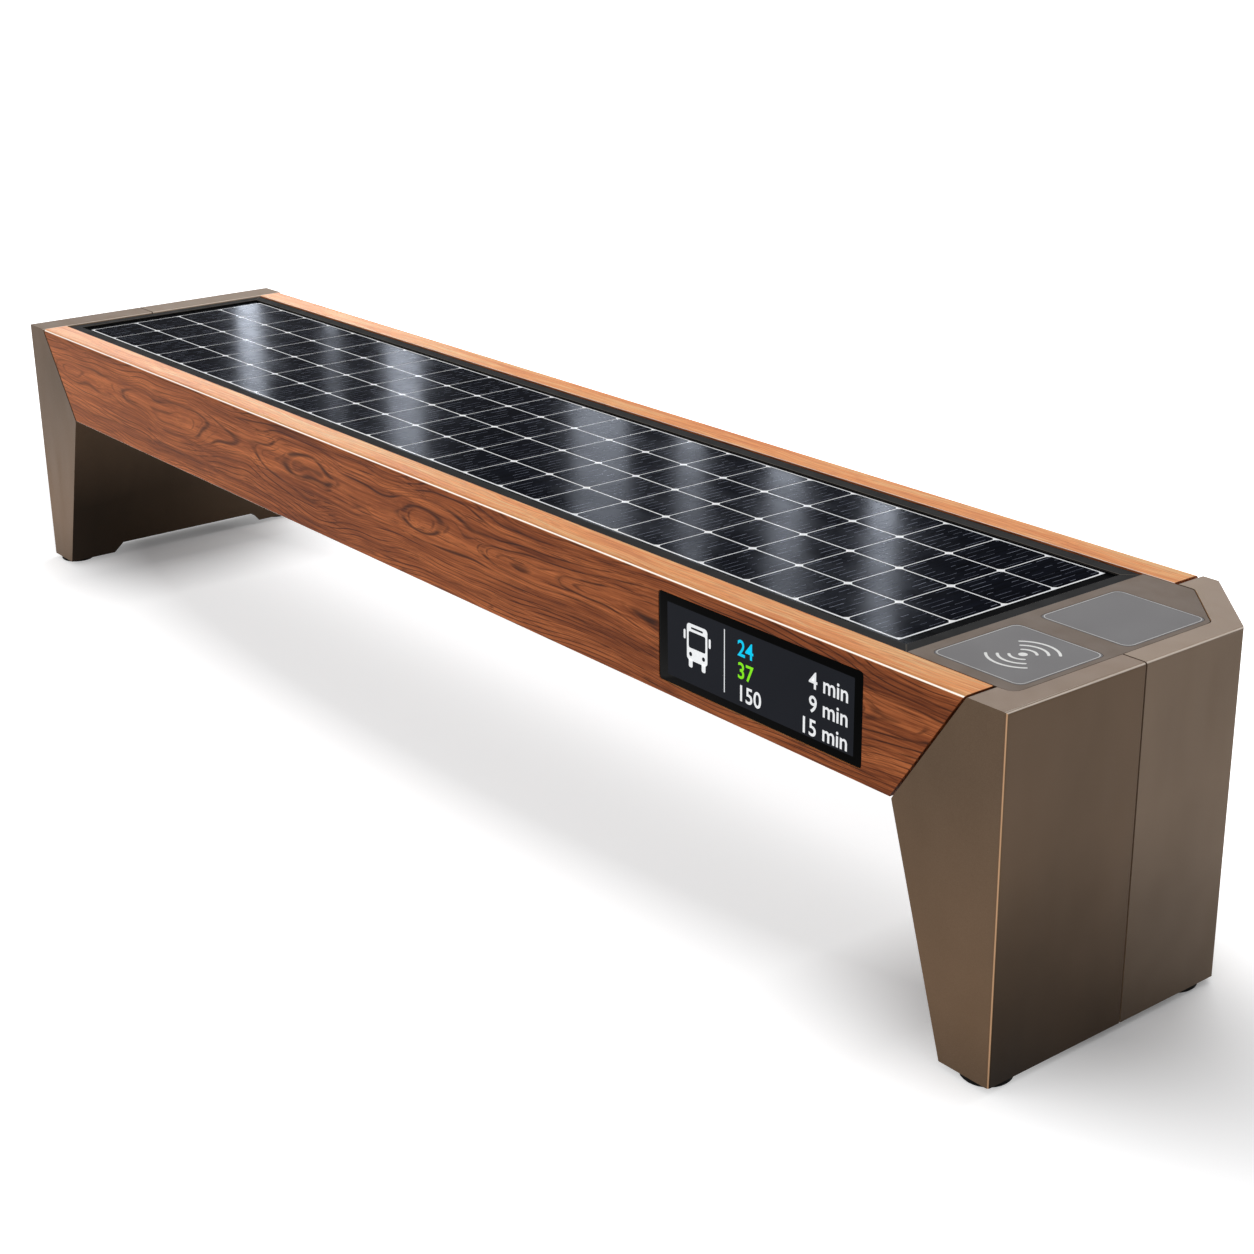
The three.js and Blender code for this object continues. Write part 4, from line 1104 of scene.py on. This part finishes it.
def refined(node: str, easing: Easing, dressing: Dressing) -> Piece:
    """Shows a CAD node with eased edges and even shading, in the node's place.

    Args:
        node: the CAD node's name.
        easing: how its edges are eased.
        dressing: what it wears and moves with.

    Returns:
        The piece.
    """
    piece = replace(dressing, stands_for=(node,)).put_on(node + "_dressed", easing.eased(node))
    flat = piece.modifiers.new("even_shading", "WEIGHTED_NORMAL")
    flat.keep_sharp = True
    flat.weight = 90
    return piece


def dress_nodes(material: Material, *nodes: str) -> None:
    """Gives CAD nodes that are shown as they are their finish.

    Args:
        material: the finish.
        nodes: the CAD nodes' names.
    """
    for node in nodes:
        for slot in bpy.data.objects[node].material_slots:
            slot.material = material
        LOG.info("dressed %s", node)


def corners(node: str) -> tuple[Vector, Vector]:
    """A CAD node's lowest and highest corner, in millimetres."""
    lowest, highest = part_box(node)
    return lowest / MILLIMETRE, highest / MILLIMETRE


# Sub-assemblies


@dataclass
class Legs:
    """The folded metal legs, their frames and their feet."""

    # The third tone is the painted highlight on the legs' folds
    coat: MetalCoat = MetalCoat("bronze_coat", Tone(110, 90, 71), Tone(123, 101, 81),
                                Tone(240, 190, 146))
    # A lighter copy of the coat for the rear shells: painted light
    lit_rear_coat: MetalCoat = MetalCoat("lit_rear_bronze_coat", Tone(130, 111, 93), Tone(143, 123, 104),
                                     Tone(240, 190, 146))
    shell_easing: Easing = Easing(rim=0.9)
    frame_coat: Moulded = Moulded("dark_bronze_coat", Tone(58, 48, 39), Tone(68, 57, 47),
                                  specular=0.1)
    feet: Moulded = Moulded("foot_rubber", Tone(12, 12, 12), Tone(20, 19, 18), smooth=0.7,
                            rough=0.85, specular=0.1)

    def build(self) -> None:
        """Dresses the legs."""
        frame = self.frame_coat.make()
        rubber = self.feet.make()
        coats = {"front": self.coat.make(), "rear": self.lit_rear_coat.make()}
        for side in ("left", "right"):
            for half, bronze in coats.items():
                refined(f"{side}_{half}_shell", self.shell_easing, Dressing(bronze, Slot.BRONZE))
            dress_nodes(rubber, f"{side}_front_foot", f"{side}_rear_foot")
            dress_nodes(frame, f"{side}_leg_frame")


@dataclass
class Beams:
    """The two wooden beams."""

    timber: Timber = Timber()
    easing: Easing = Easing(rim=1.5)

    def build(self) -> list[Piece]:
        """Dresses the beams and returns them."""
        wood = self.timber.make()
        return [refined(node, self.easing, Dressing(wood, Slot.WOOD))
                for node in ("front_beam", "rear_beam")]


@dataclass
class SolarModule:
    """The walk-on solar panel: its frame, cells, wires and backing."""

    columns: int = 24
    rows: int = 4
    margins: Sides = (21.0, 22.0, 10.5, 4.1)
    backing_rim: float = 1.6
    gap_across: float = 2.3
    gap_along: float = 2.8
    chamfer: float = 4.6
    lip: float = 18.5
    border_top: float = 444.45
    sheet_depth: float = 0.12
    sheet_top: float = 444.6
    cell_top: float = 444.85
    wires: int = 8
    wire_width: float = 0.6
    wire_halves: Point = (0.25, 0.6)
    wire_drift: float = 0.35
    wire_top: float = 444.95
    wire_starts: Point = (1.5, 14.0)
    wire_lengths: Point = (8.0, 44.0)
    wire_breaks: Point = (5.0, 34.0)
    wire_end: float = 1.5
    least_wire: float = 4.0
    wire_stretches: int = 3
    seed: int = 7
    border: UnderGlass = UnderGlass("glass_border", Tone(13, 14, 15), Tone(20, 21, 23))
    white: UnderGlass = UnderGlass("white_backing", Tone(246, 248, 252), Tone(255, 255, 255))
    silicon: UnderGlass = UnderGlass("silicon", Tone(4, 5, 9), Tone(19, 22, 32), (330, 13, 13))
    silver: UnderGlass = UnderGlass("silver_wires", Tone(58, 63, 78), Tone(160, 166, 182),
                                    (90, 30, 9))
    # Its fold tone is a painted highlight on the bars' edges
    frame_coat: MetalCoat = MetalCoat("black_anodised", Tone(29, 30, 30), Tone(36, 36, 37),
                                      Tone(150, 151, 153), metallic=0.0, specular=0.01,
                                      darkened=0.0, front_sheen=0.0, top_sheen=0.0)

    def cell_area(self) -> Sides:
        """Where the cells lie within the frame's lip: left, right, front and rear."""
        sides = (("left", 0, 0, 1), ("right", 1, 0, -1), ("front", 0, 1, 1), ("rear", 1, 1, -1))
        return tuple(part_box(f"panel_frame_{side}")[end][axis] / MILLIMETRE + inward * self.lip
                     + inward * margin
                     for (side, end, axis, inward), margin in zip(sides, self.margins))

    def cell_outlines(self) -> list[Outline]:
        """The cells, each with its four corners cut.

        Returns:
            Their outlines, column by column.
        """
        left, right, front, rear = self.cell_area()
        width, depth = (right - left) / self.columns, (rear - front) / self.rows
        cut = self.chamfer
        outlines = []
        for column in range(self.columns):
            for row in range(self.rows):
                a = left + column * width + self.gap_across / 2
                b = front + row * depth + self.gap_along / 2
                c, d = a + width - self.gap_across, b + depth - self.gap_along
                outlines.append([(a + cut, b), (c - cut, b), (c, b + cut), (c, d - cut),
                                 (c - cut, d), (a + cut, d), (a, d - cut), (a, b + cut)])
        return outlines

    def build(self) -> list[Piece]:
        """Builds the glass, the cells and the frame.

        Returns:
            The pieces that lie under the glass.
        """
        lowest, highest = corners("solar_laminate")
        left, right, front, rear = self.cell_area()
        rim = self.backing_rim
        back, sheet, wafers = Form(), Form(), Form()
        back.slab(rectangle(lowest.x, highest.x, lowest.y, highest.y),
                  Layer(lowest.z, self.border_top))
        sheet.slab(rectangle(left - rim, right + rim, front - rim, rear + rim),
                   Layer(self.sheet_top - self.sheet_depth, self.sheet_top))
        cells = self.cell_outlines()
        for outline in cells:
            wafers.slab(outline, Layer(self.sheet_top - SUNK, self.cell_top))
        glazed = [Dressing(finish.make(), Slot.CELLS, stands_for=hidden).show(name, form)
                  for name, form, finish, hidden in (
                      ("glass_and_border", back, self.border, ("solar_laminate",)),
                      ("cell_backing", sheet, self.white, ()),
                      ("solar_wafers", wafers, self.silicon, ()),
                      ("cell_wires", self.printed_wires(cells), self.silver, ()))]
        anodised = Dressing(self.frame_coat.make(), Slot.BLACK_METAL)
        for side in ("front", "right", "rear", "left"):
            refined(f"panel_frame_{side}", Easing(), anodised)
        return glazed

    def printed_wires(self, cells: list[Outline]) -> Form:
        """Lays the cells' printed wires, in broken stretches.

        Args:
            cells: the cells' outlines.

        Returns:
            The wires.
        """
        draw = random.Random(self.seed)
        wires = Form()
        layer = Layer(self.cell_top - SUNK, self.wire_top)
        for outline in cells:
            left, right = outline[7][0], outline[3][0]
            low, high = outline[0][1], outline[4][1]
            for number in range(self.wires):
                middle = left + (right - left) * (number + 0.5) / self.wires
                spot = low + draw.uniform(*self.wire_starts)
                while spot < high - self.least_wire:
                    end = min(spot + draw.uniform(*self.wire_lengths), high - self.wire_end)
                    half = self.wire_width * draw.uniform(*self.wire_halves)
                    stations = [(middle + draw.uniform(-self.wire_drift, self.wire_drift),
                                 spot + (end - spot) * i / self.wire_stretches)
                                for i in range(self.wire_stretches + 1)]
                    wires.slab([(x + half, y) for x, y in stations]
                               + [(x - half, y) for x, y in reversed(stations)], layer)
                    spot = end + draw.uniform(*self.wire_breaks)
        return wires


@dataclass
class ChargingDeck:
    """The metal deck with its two charging pads and the coils under them."""

    outline_inset: float = 1.5
    outline_width: float = 1.1
    outline_height: float = 0.14
    corner: float = 11.0
    sign_radii: tuple[float, ...] = (15.0, 27.5, 40.0)
    sign_stroke: float = 3.4
    sign_half_angle: float = 47.0
    sign_height: float = 0.16
    sign_shift: Point = (5.0, 2.0)
    dot: float = 5.2
    # Its fold tone is a painted highlight on the deck's edges
    coat: MetalCoat = MetalCoat("deck_coat", Tone(95, 79, 65), Tone(104, 87, 73),
                                Tone(150, 132, 116), folds=0.5, specular=0.07, darkened=0.0,
                                front_sheen=0.0, top_sheen=0.0)
    pad_face: Moulded = Moulded("pad_face", Tone(90, 88, 90), Tone(100, 98, 100),
                                grain=1800, depth=0.0001, smooth=0.4, rough=0.52,
                                specular=0.18)
    print_ink: Moulded = Moulded("pad_print", Tone(232, 232, 230), Tone(222, 222, 220),
                                 grain=1500, depth=0.0001, smooth=0.4, rough=0.5)
    line_ink: Moulded = Moulded("pad_outline", Tone(186, 184, 182), Tone(166, 164, 162),
                                grain=1500, depth=0.0001, smooth=0.3, rough=0.42)

    def build(self) -> None:
        """Builds the deck, the pads and the coils."""
        refined("charging_deck", Easing(rim=0.6), Dressing(self.coat.make(), Slot.DECK))
        face = Dressing(self.pad_face.make(), Slot.PAD)
        line = Dressing(self.line_ink.make(), Slot.PAD)
        for name in ("front", "rear"):
            refined(f"{name}_pad", Easing(rim=0.4, fold_width=0.0), face)
            low, high = corners(f"{name}_pad")
            outer, inner = (
                rounded(low.x + inset, high.x - inset, low.y + inset, high.y - inset, corner)
                for inset, corner in (
                    (self.outline_inset, self.corner),
                    (self.outline_inset + self.outline_width, self.corner - self.outline_width)))
            border = Form()
            border.ring(outer, inner, Layer(high.z - SUNK, high.z + self.outline_height))
            line.show(f"{name}_pad_outline", border)
            self.coil(name)
        self.sign()

    def sign(self) -> None:
        """Prints the mark that shows where to charge: waves about a dot."""
        low, high = corners("front_pad")
        along, across = self.sign_shift
        centre = ((low.x + high.x) / 2 + along, (low.y + high.y) / 2 + across)
        waves = Form()
        layer = Layer(high.z - SUNK, high.z + self.sign_height)
        for radius in self.sign_radii:
            for middle in (90, 270):
                waves.slab(arc_band(centre, radius, self.sign_stroke,
                                    middle - self.sign_half_angle,
                                    middle + self.sign_half_angle), layer)
        waves.slab(circle(centre, self.dot), layer)
        Dressing(self.print_ink.make(), Slot.PAD).show("charging_mark", waves)

    def coil(self, name: str) -> None:
        """Dresses one pad's coil with wire wound round its middle.

        Args:
            name: the pad's name, front or rear.
        """
        low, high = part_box(f"{name}_coil")
        winding = Winding(f"{name}_winding", tuple((low + high) / 2))
        dress_nodes(winding.make(), f"{name}_coil")


@dataclass
class Display:
    """The departures display in the front beam."""

    border_left: float = 16.4
    border_right: float = 13.0
    border_high: float = 10.5
    picture_corner: float = 1.2
    cover_front: float = 244.62
    picture_front: float = 244.68
    figure_front: float = 244.82
    inlay_front: float = 244.88
    corner: float = 5.0
    cover_rim: float = 0.7
    figure_sunk: float = 0.04
    inlay_sunk: float = 0.03
    routes: tuple[str, ...] = ("24", "37", "150")
    waits: tuple[str, ...] = ("4 min", "9 min", "15 min")
    route_lines: tuple[float, ...] = (389.5, 361.5, 333.5)
    wait_lines: tuple[float, ...] = (387.5, 358.5, 329.5)
    figure_height: float = 20.0
    routes_left: float = 783.0
    waits_right: float = 970.5
    divider: Sides = (759.3, 760.7, 335.0, 414.5)
    sign_centre: Point = (710.0, 377.0)
    # The bus about that centre: left, right, low, high and the corners' radius
    bus_body: Sizes = (-19.0, 19.0, -20.0, 27.0, 5.0)
    wheel: Sizes = (8.5, 15.5, -29.0, -18.5, 2.4)
    mirror: Sizes = (21.5, 25.0, 5.0, 17.0, 1.6)
    blind: Sizes = (-11.0, 11.0, 20.5, 23.0, 1.2)
    windscreen: Sizes = (-15.5, 15.5, -4.0, 17.0, 2.5)
    headlamp: Triple = (12.0, -12.0, 2.8)
    lights: tuple[Lit, ...] = (Lit("white_light", Tone(236, 238, 240), 0.52),
                               Lit("cyan_light", Tone(14, 204, 244), 0.52),
                               Lit("green_light", Tone(132, 230, 34), 0.52))
    ground: Lit = Lit("picture_ground", Tone(31, 33, 39), 0.35)
    sign_ground: Lit = Lit("sign_ground", Tone(31, 33, 39), 0.35)
    cover: Moulded = Moulded("display_cover", Tone(4, 4, 4), Tone(7, 7, 7), grain=1200,
                             depth=0.00002, smooth=0.12, rough=0.22, specular=0.012)

    def build(self) -> None:
        """Builds the display's cover and its picture."""
        low, high = corners("display_glass")
        cover, picture = Form(), Form()
        cover.slab(rounded(low.x, high.x, low.z, high.z, self.corner),
                   Layer(-high.y, self.cover_front, Facing.FRONT), self.cover_rim)
        Dressing(self.cover.make(), Slot.DISPLAY_GLASS, stands_for=("display_glass",)).show(
            "display_cover", cover)
        picture.slab(rounded(low.x + self.border_left, high.x - self.border_right,
                             low.z + self.border_high, high.z - self.border_high,
                             self.picture_corner, 3),
                     Layer(self.cover_front - SUNK, self.picture_front, Facing.FRONT))
        Dressing(self.ground.make(), Slot.SCREEN).show("display_picture", picture)
        self.figures()

    def figures(self) -> None:
        """Lights the sign, the divider, the lines' numbers and the waits."""
        white, cyan, green = Form(), Form(), Form()
        layer = Layer(self.picture_front - self.figure_sunk, self.figure_front, Facing.FRONT)
        for form, text, line in zip((cyan, green, white), self.routes, self.route_lines):
            form.lettering(text, self.figure_height, (self.routes_left, line), layer)
        for text, line in zip(self.waits, self.wait_lines):
            white.lettering(text, self.figure_height, (self.waits_right, line), layer,
                            rightwards=False)
        white.slab(rectangle(*self.divider), layer)
        self.bus(white, layer)
        for name, form, light in zip(("white", "cyan", "green"), (white, cyan, green),
                                     self.lights):
            Dressing(light.make(), Slot.SCREEN).show(f"{name}_figures", form)

    def bus(self, white: Form, layer: Layer) -> None:
        """Adds a plain bus, seen from the front.

        Args:
            white: the form that takes its light parts.
            layer: where these lie.
        """
        for sizes, side in ((self.bus_body, 1), (self.wheel, -1), (self.mirror, -1),
                            (self.wheel, 1), (self.mirror, 1)):
            white.slab(self.on_sign(sizes, side), layer)
        dark = Form()
        inlay = Layer(layer.high - self.inlay_sunk, self.inlay_front, Facing.FRONT)
        a, b = self.sign_centre
        along, upward, radius = self.headlamp
        for outline in (self.on_sign(self.blind), self.on_sign(self.windscreen),
                        circle((a - along, b + upward), radius),
                        circle((a + along, b + upward), radius)):
            dark.slab(outline, inlay)
        Dressing(self.sign_ground.make(), Slot.SCREEN).show("sign_inlays", dark)

    def on_sign(self, sizes: Sizes, side: int = 1) -> Outline:
        """The outline of a part of the bus, on its own or its other side.

        Args:
            sizes: its left, right, low, high and corner radius about the sign's centre.
            side: 1 for its own side, or -1 for the other.

        Returns:
            The outline.
        """
        a, b = self.sign_centre
        left, right, low, high, corner = sizes
        return rounded(*sorted((a + side * left, a + side * right)), b + low, b + high, corner)


@dataclass
class Underside:
    """What the bench carries under its panel, and the covers and hatch that close it."""

    rivet_radius: float = 3.2
    rivet_height: float = 1.5
    rivet_spots: tuple[Point, ...] = ((-7, 113), (7, 113), (-7, 128), (7, 128))
    rivet_profile: tuple[Point, ...] = (  # shares of the radius and of the height
        (0.96, 0.35), (0.8, 0.7), (0.5, 0.93), (0.15, 1.0))
    leaf_face: float = 306.4
    black: Moulded = Moulded("black_powder_coat", Tone(24, 25, 26), Tone(36, 36, 36),
                             grain=700, depth=0.0003, smooth=0.45, rough=0.6, metallic=0.2)
    plastic: Moulded = Moulded("dark_plastic", Tone(32, 34, 36), Tone(44, 45, 47))
    board: Moulded = Moulded("support_board", Tone(160, 162, 164), Tone(142, 143, 144),
                             grain=260)
    ferrite: Moulded = Moulded("sintered_ferrite", Tone(44, 44, 46), Tone(56, 56, 58),
                               grain=2200, rough=0.8)
    case: Moulded = Moulded("battery_shell", Tone(48, 66, 88), Tone(60, 76, 96), grain=600)
    rubber: Moulded = Moulded("seal_rubber", Tone(18, 18, 18), Tone(28, 28, 27), smooth=0.6,
                              rough=0.8)
    panel: Moulded = Moulded("panel_module", Tone(24, 27, 34), Tone(32, 35, 42))

    def build(self, zinc: Material, steel: Material) -> None:
        """Dresses everything under the seat.

        Args:
            zinc: the finish of the carrying steel.
            steel: the finish of the pins and locks.
        """
        coat = self.black.make()
        for material, nodes in (
                (self.plastic.make(), ("junction_box", "charger_housing", "display_housing",
                                       "display_controller", "solar_lead", "display_lead",
                                       "charger_lead")),
                (self.board.make(), ("support_board",)),
                (self.ferrite.make(), ("front_ferrite", "rear_ferrite")),
                (self.case.make(), ("battery_pack_1", "battery_pack_2")),
                (self.rubber.make(), ("display_seal",)),
                (self.panel.make(), ("display_panel",)),
                (zinc, ("front_rail", "rear_rail", "battery_cradle", "electronics_plate",
                        *(f"cross_member_{number}" for number in range(1, 5)))),
                (steel, [f"{kind}_{number}" for kind in ("hinge_pin", "lock_cam", "lock_housing")
                         for number in (1, 2)]),
                (coat, ("charge_controller", "hinge_rail", "latch_rail"))):
            dress_nodes(material, *nodes)
        for node in ("left_belly_cover", "right_belly_cover"):
            refined(node, Easing(rim=0.5), Dressing(coat, Slot.BLACK_METAL))
        refined("service_hatch", Easing(rim=0.6), Dressing(coat, Slot.BLACK_METAL, "hatch"))
        self.hinges(zinc, steel)

    def hinges(self, zinc: Material, steel: Material) -> None:
        """Dresses the hinge leaves and rivets them to the hatch.

        Args:
            zinc: the leaves' finish.
            steel: the rivets' finish.
        """
        radius, height = self.rivet_radius, self.rivet_height
        profile = [(radius, SUNK)] + [(radius * share, -height * part)
                                      for share, part in self.rivet_profile]
        for number in (1, 2):
            leaf = f"hinge_leaf_{number}"
            dress_nodes(zinc, leaf)
            low, high = corners(leaf)
            middle = (low.x + high.x) / 2
            rivets = Form()
            for along, across in self.rivet_spots:
                rivets.turned([(r, -(self.leaf_face + depth)) for r, depth in profile],
                              (middle + along, -across), Facing.DOWN)
            Dressing(steel, Slot.BRIGHT_STEEL, "hatch").show(f"hinge_rivets_{number}", rivets)


# Studio


@dataclass(frozen=True)
class Lamp:
    """A soft panel of light that is out of the camera's sight."""

    name: str
    place: Triple
    target: Triple
    width: float
    height: float
    brightness: float
    tint: Triple = (1.0, 1.0, 1.0)

    def light(self, only: bpy.types.Collection | None = None) -> None:
        """Hangs the lamp. Its brightness is that of its face, where 1 is white.

        Args:
            only: the pieces that alone mirror it, if it isn't for all.
        """
        lamp = bpy.data.lights.new(self.name, "AREA")
        lamp.color = self.tint
        lamp.shape = "RECTANGLE"
        lamp.size = self.width
        lamp.size_y = self.height
        lamp.energy = self.brightness * math.pi * self.width * self.height
        holder = bpy.data.objects.new(self.name, lamp)
        holder.location = self.place
        aim = Vector(self.target) - Vector(self.place)
        holder.rotation_euler = aim.to_track_quat("-Z", "Y").to_euler()
        holder.visible_camera = False
        if only is not None:
            holder.visible_diffuse = False
            holder.light_linking.receiver_collection = only
        bpy.context.scene.collection.objects.link(holder)


@dataclass
class Studio:
    """A white floor and room, soft lamps, and tall bright strips for the glass."""

    floor_half: float = 40.0
    floor_drop: float = 0.0003
    ambient: float = 0.45
    # Camera-only floor glow: less near the bench so that the real shadow shows, and least by the
    # feet, a painted shadow
    floor_lift: float = 0.5
    contact_lift: float = 0.1
    contact_shade_span: Point = (0.85, 1.05)
    clear: Point = (1.24, 0.22)
    strips: tuple[Triple, ...] = (
        # place along the panel, width, brightness
        (-0.816, 0.07, 60.0), (-0.531, 0.04, 22.0), (-0.309, 0.10, 52.0),
        (0.203, 0.16, 46.0), (0.403, 0.07, 56.0), (0.594, 0.09, 74.0), (0.770, 0.07, 120.0),
    )
    strip_height: float = 1.7
    strip_reach: float = 3.4
    strip_tint: Triple = (0.80, 0.87, 1.0)
    panel_height: float = 0.445
    softboxes: tuple[Lamp, ...] = (
        Lamp("rear_softbox", (-0.6, 3.0, 3.4), (0, -0.1, 0.2), 5.0, 2.2, 3.2),
        Lamp("front_softbox", (-1.6, -4.2, 2.4), (0, -0.1, 0.4), 3.4, 2.2, 1.5),
    )
    far_softbox: Lamp = Lamp("far_softbox", (-4.2, 1.2, 1.3), (-0.9, -0.1, 0.45), 2.4, 1.4, 5.0)
    pale: Tone = Tone(236, 236, 237)
    paler: Tone = Tone(240, 240, 241)
    mottle: Clouds = Clouds((3, 3, 3), 3)

    def build(self, eye: Vector, glazed: list[Piece],
              beams: list[Piece]) -> None:
        """Builds the floor, the room's light and the lamps.

        Args:
            eye: where the camera stands.
            glazed: the pieces under the panel's glass, which mirror the strips.
            beams: the wooden beams, whose far end shines.
        """
        self.room()
        self.floor()
        mirrors, shining = (bpy.data.collections.new(name) for name in ("mirrors", "shining"))
        for group, pieces in ((mirrors, glazed), (shining, beams)):
            for piece in pieces:
                group.objects.link(piece)
        for lamp in self.softboxes:
            lamp.light()
        self.far_softbox.light(shining)
        for number, (along, width, brightness) in enumerate(self.strips):
            place, target = self.mirrored(eye, along)
            Lamp(f"strip_{number}", place, target, width, self.strip_height, brightness,
                 self.strip_tint).light(mirrors)
        bpy.context.scene.view_settings.view_transform = "Standard"

    def mirrored(self, eye: Vector, along: float) -> tuple[Triple, Triple]:
        """Finds where a strip hangs so that the panel mirrors it.

        Args:
            eye: where the camera stands.
            along: the place on the panel, along the bench, that mirrors it.

        Returns:
            The strip's place, and what it faces.
        """
        spot = Vector((along, 0.0, self.panel_height))
        away = Vector((spot.x - eye.x, spot.y - eye.y, eye.z - spot.z))
        place = spot + away * (self.strip_reach / away.length)
        return tuple(place), (spot.x, spot.y, place.z)

    def room(self) -> None:
        """Lights the room evenly, white where the camera, gloss or glass sees it."""
        world = bpy.data.worlds.new("white_room")
        bpy.context.scene.world = world
        world.use_nodes = True
        nodes = Nodes(world.node_tree)
        back = nodes.tree.nodes["Background"]
        nodes.feed((1, 1, 1, 1), back.inputs["Color"])
        nodes.feed(self.seen_as(nodes, self.ambient), back.inputs["Strength"])

    def seen_as(self, nodes: Nodes, unseen: float) -> Socket:
        """A strength that is 1 for rays that look, and another for light that spreads.

        Args:
            nodes: the tree it is in.
            unseen: its value for light that spreads.

        Returns:
            The strength's socket.
        """
        path = nodes.add("ShaderNodeLightPath")
        looks = nodes.maths("MAXIMUM", nodes.maths(
            "MAXIMUM", path["Is Camera Ray"], path["Is Glossy Ray"]), path["Is Transmission Ray"])
        return nodes.levels(looks, 0.0, 1.0, unseen, 1.0)

    def floor(self) -> None:
        """Lays the pale floor, which keeps the bench's shadow."""
        half = self.floor_half
        mesh = bpy.data.meshes.new("floor")
        mesh.from_pydata([(x, y, -self.floor_drop) for x, y in rectangle(-half, half, -half, half)],
                         [], [(0, 1, 2, 3)])
        surface = Surface("studio_floor", roughness=0.9, specular=0.0)
        colour = surface.ramp(surface.noise(self.mottle), [(0.0, self.pale), (1.0, self.paler)])
        surface.shine({"Emission Color": self.whitened(surface),
                       "Emission Strength": self.seen_as(surface, 0.0)})
        mesh.materials.append(surface.dress(colour))
        self.open_below(surface)
        floor = bpy.data.objects.new("floor", mesh)
        bpy.context.scene.collection.objects.link(floor)

    def whitened(self, surface: Surface) -> Socket:
        """How much the floor's camera-only glow lifts it: to white away from the bench, less near
        it so that the real shadow shows, and least by its feet, which paints a shadow there.

        Args:
            surface: the floor's finish.

        Returns:
            The share's socket.
        """
        reach = surface.vector("LENGTH", surface.stretched(
            (1 / self.clear[0], 1 / self.clear[1], 0)))["Value"]
        near = surface.levels(surface.maths("ABSOLUTE", surface.parts()[0]), *self.contact_shade_span,
                              self.floor_lift, self.contact_lift)
        return surface.levels(reach, 1.0, 2.0, near, 1.0)

    def open_below(self, surface: Surface) -> None:
        """Lets the bench's underside be seen through the floor from below."""
        meet = surface.add("ShaderNodeMixShader", {
            0: surface.add("ShaderNodeNewGeometry")["Backfacing"], 1: surface.shader.outputs[0],
            2: surface.add("ShaderNodeBsdfTransparent")[0]})
        surface.feed(meet[0], surface.tree.nodes["Material Output"].inputs["Surface"])


@dataclass
class Viewpoint:
    """The photographer's camera."""

    place: Triple = (2.54986, -1.77761, 1.30185)
    heading: float = 0.9109
    dip: float = 0.3588
    lean: float = -0.0149
    focal_pixels: float = 2152.86
    picture_pixels: float = 1254.0
    sensor: float = 36.0

    def build(self) -> Vector:
        """Stands the camera in its place.

        Returns:
            Where that is.
        """
        forward = Vector((-math.sin(self.heading) * math.cos(self.dip),
                          math.cos(self.heading) * math.cos(self.dip), -math.sin(self.dip)))
        level = Vector((math.cos(self.heading), math.sin(self.heading), 0))
        rise = level.cross(forward)
        right = level * math.cos(self.lean) + rise * math.sin(self.lean)
        upward = rise * math.cos(self.lean) - level * math.sin(self.lean)
        data = bpy.data.cameras.new("camera")
        data.sensor_width = self.sensor
        data.lens = self.focal_pixels / self.picture_pixels * self.sensor
        camera = bpy.data.objects.new("camera", data)
        turn = Matrix((right, upward, -forward)).transposed().to_4x4()
        camera.matrix_world = Matrix.Translation(self.place) @ turn
        bpy.context.scene.collection.objects.link(camera)
        bpy.context.scene.camera = camera
        return Vector(self.place)


def main() -> None:
    """Builds the bench's sub-assemblies in order, then the studio."""
    logging.basicConfig(level=logging.INFO, format="%(message)s")
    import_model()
    eye = Viewpoint().build()
    zinc = Zinc().make()
    steel = Plated().make()
    Legs().build()
    beams = Beams().build()
    glazed = SolarModule().build()
    ChargingDeck().build()
    Display().build()
    Underside().build(zinc, steel)
    Studio().build(eye, glazed, beams)


if __name__ == "__main__":
    main()
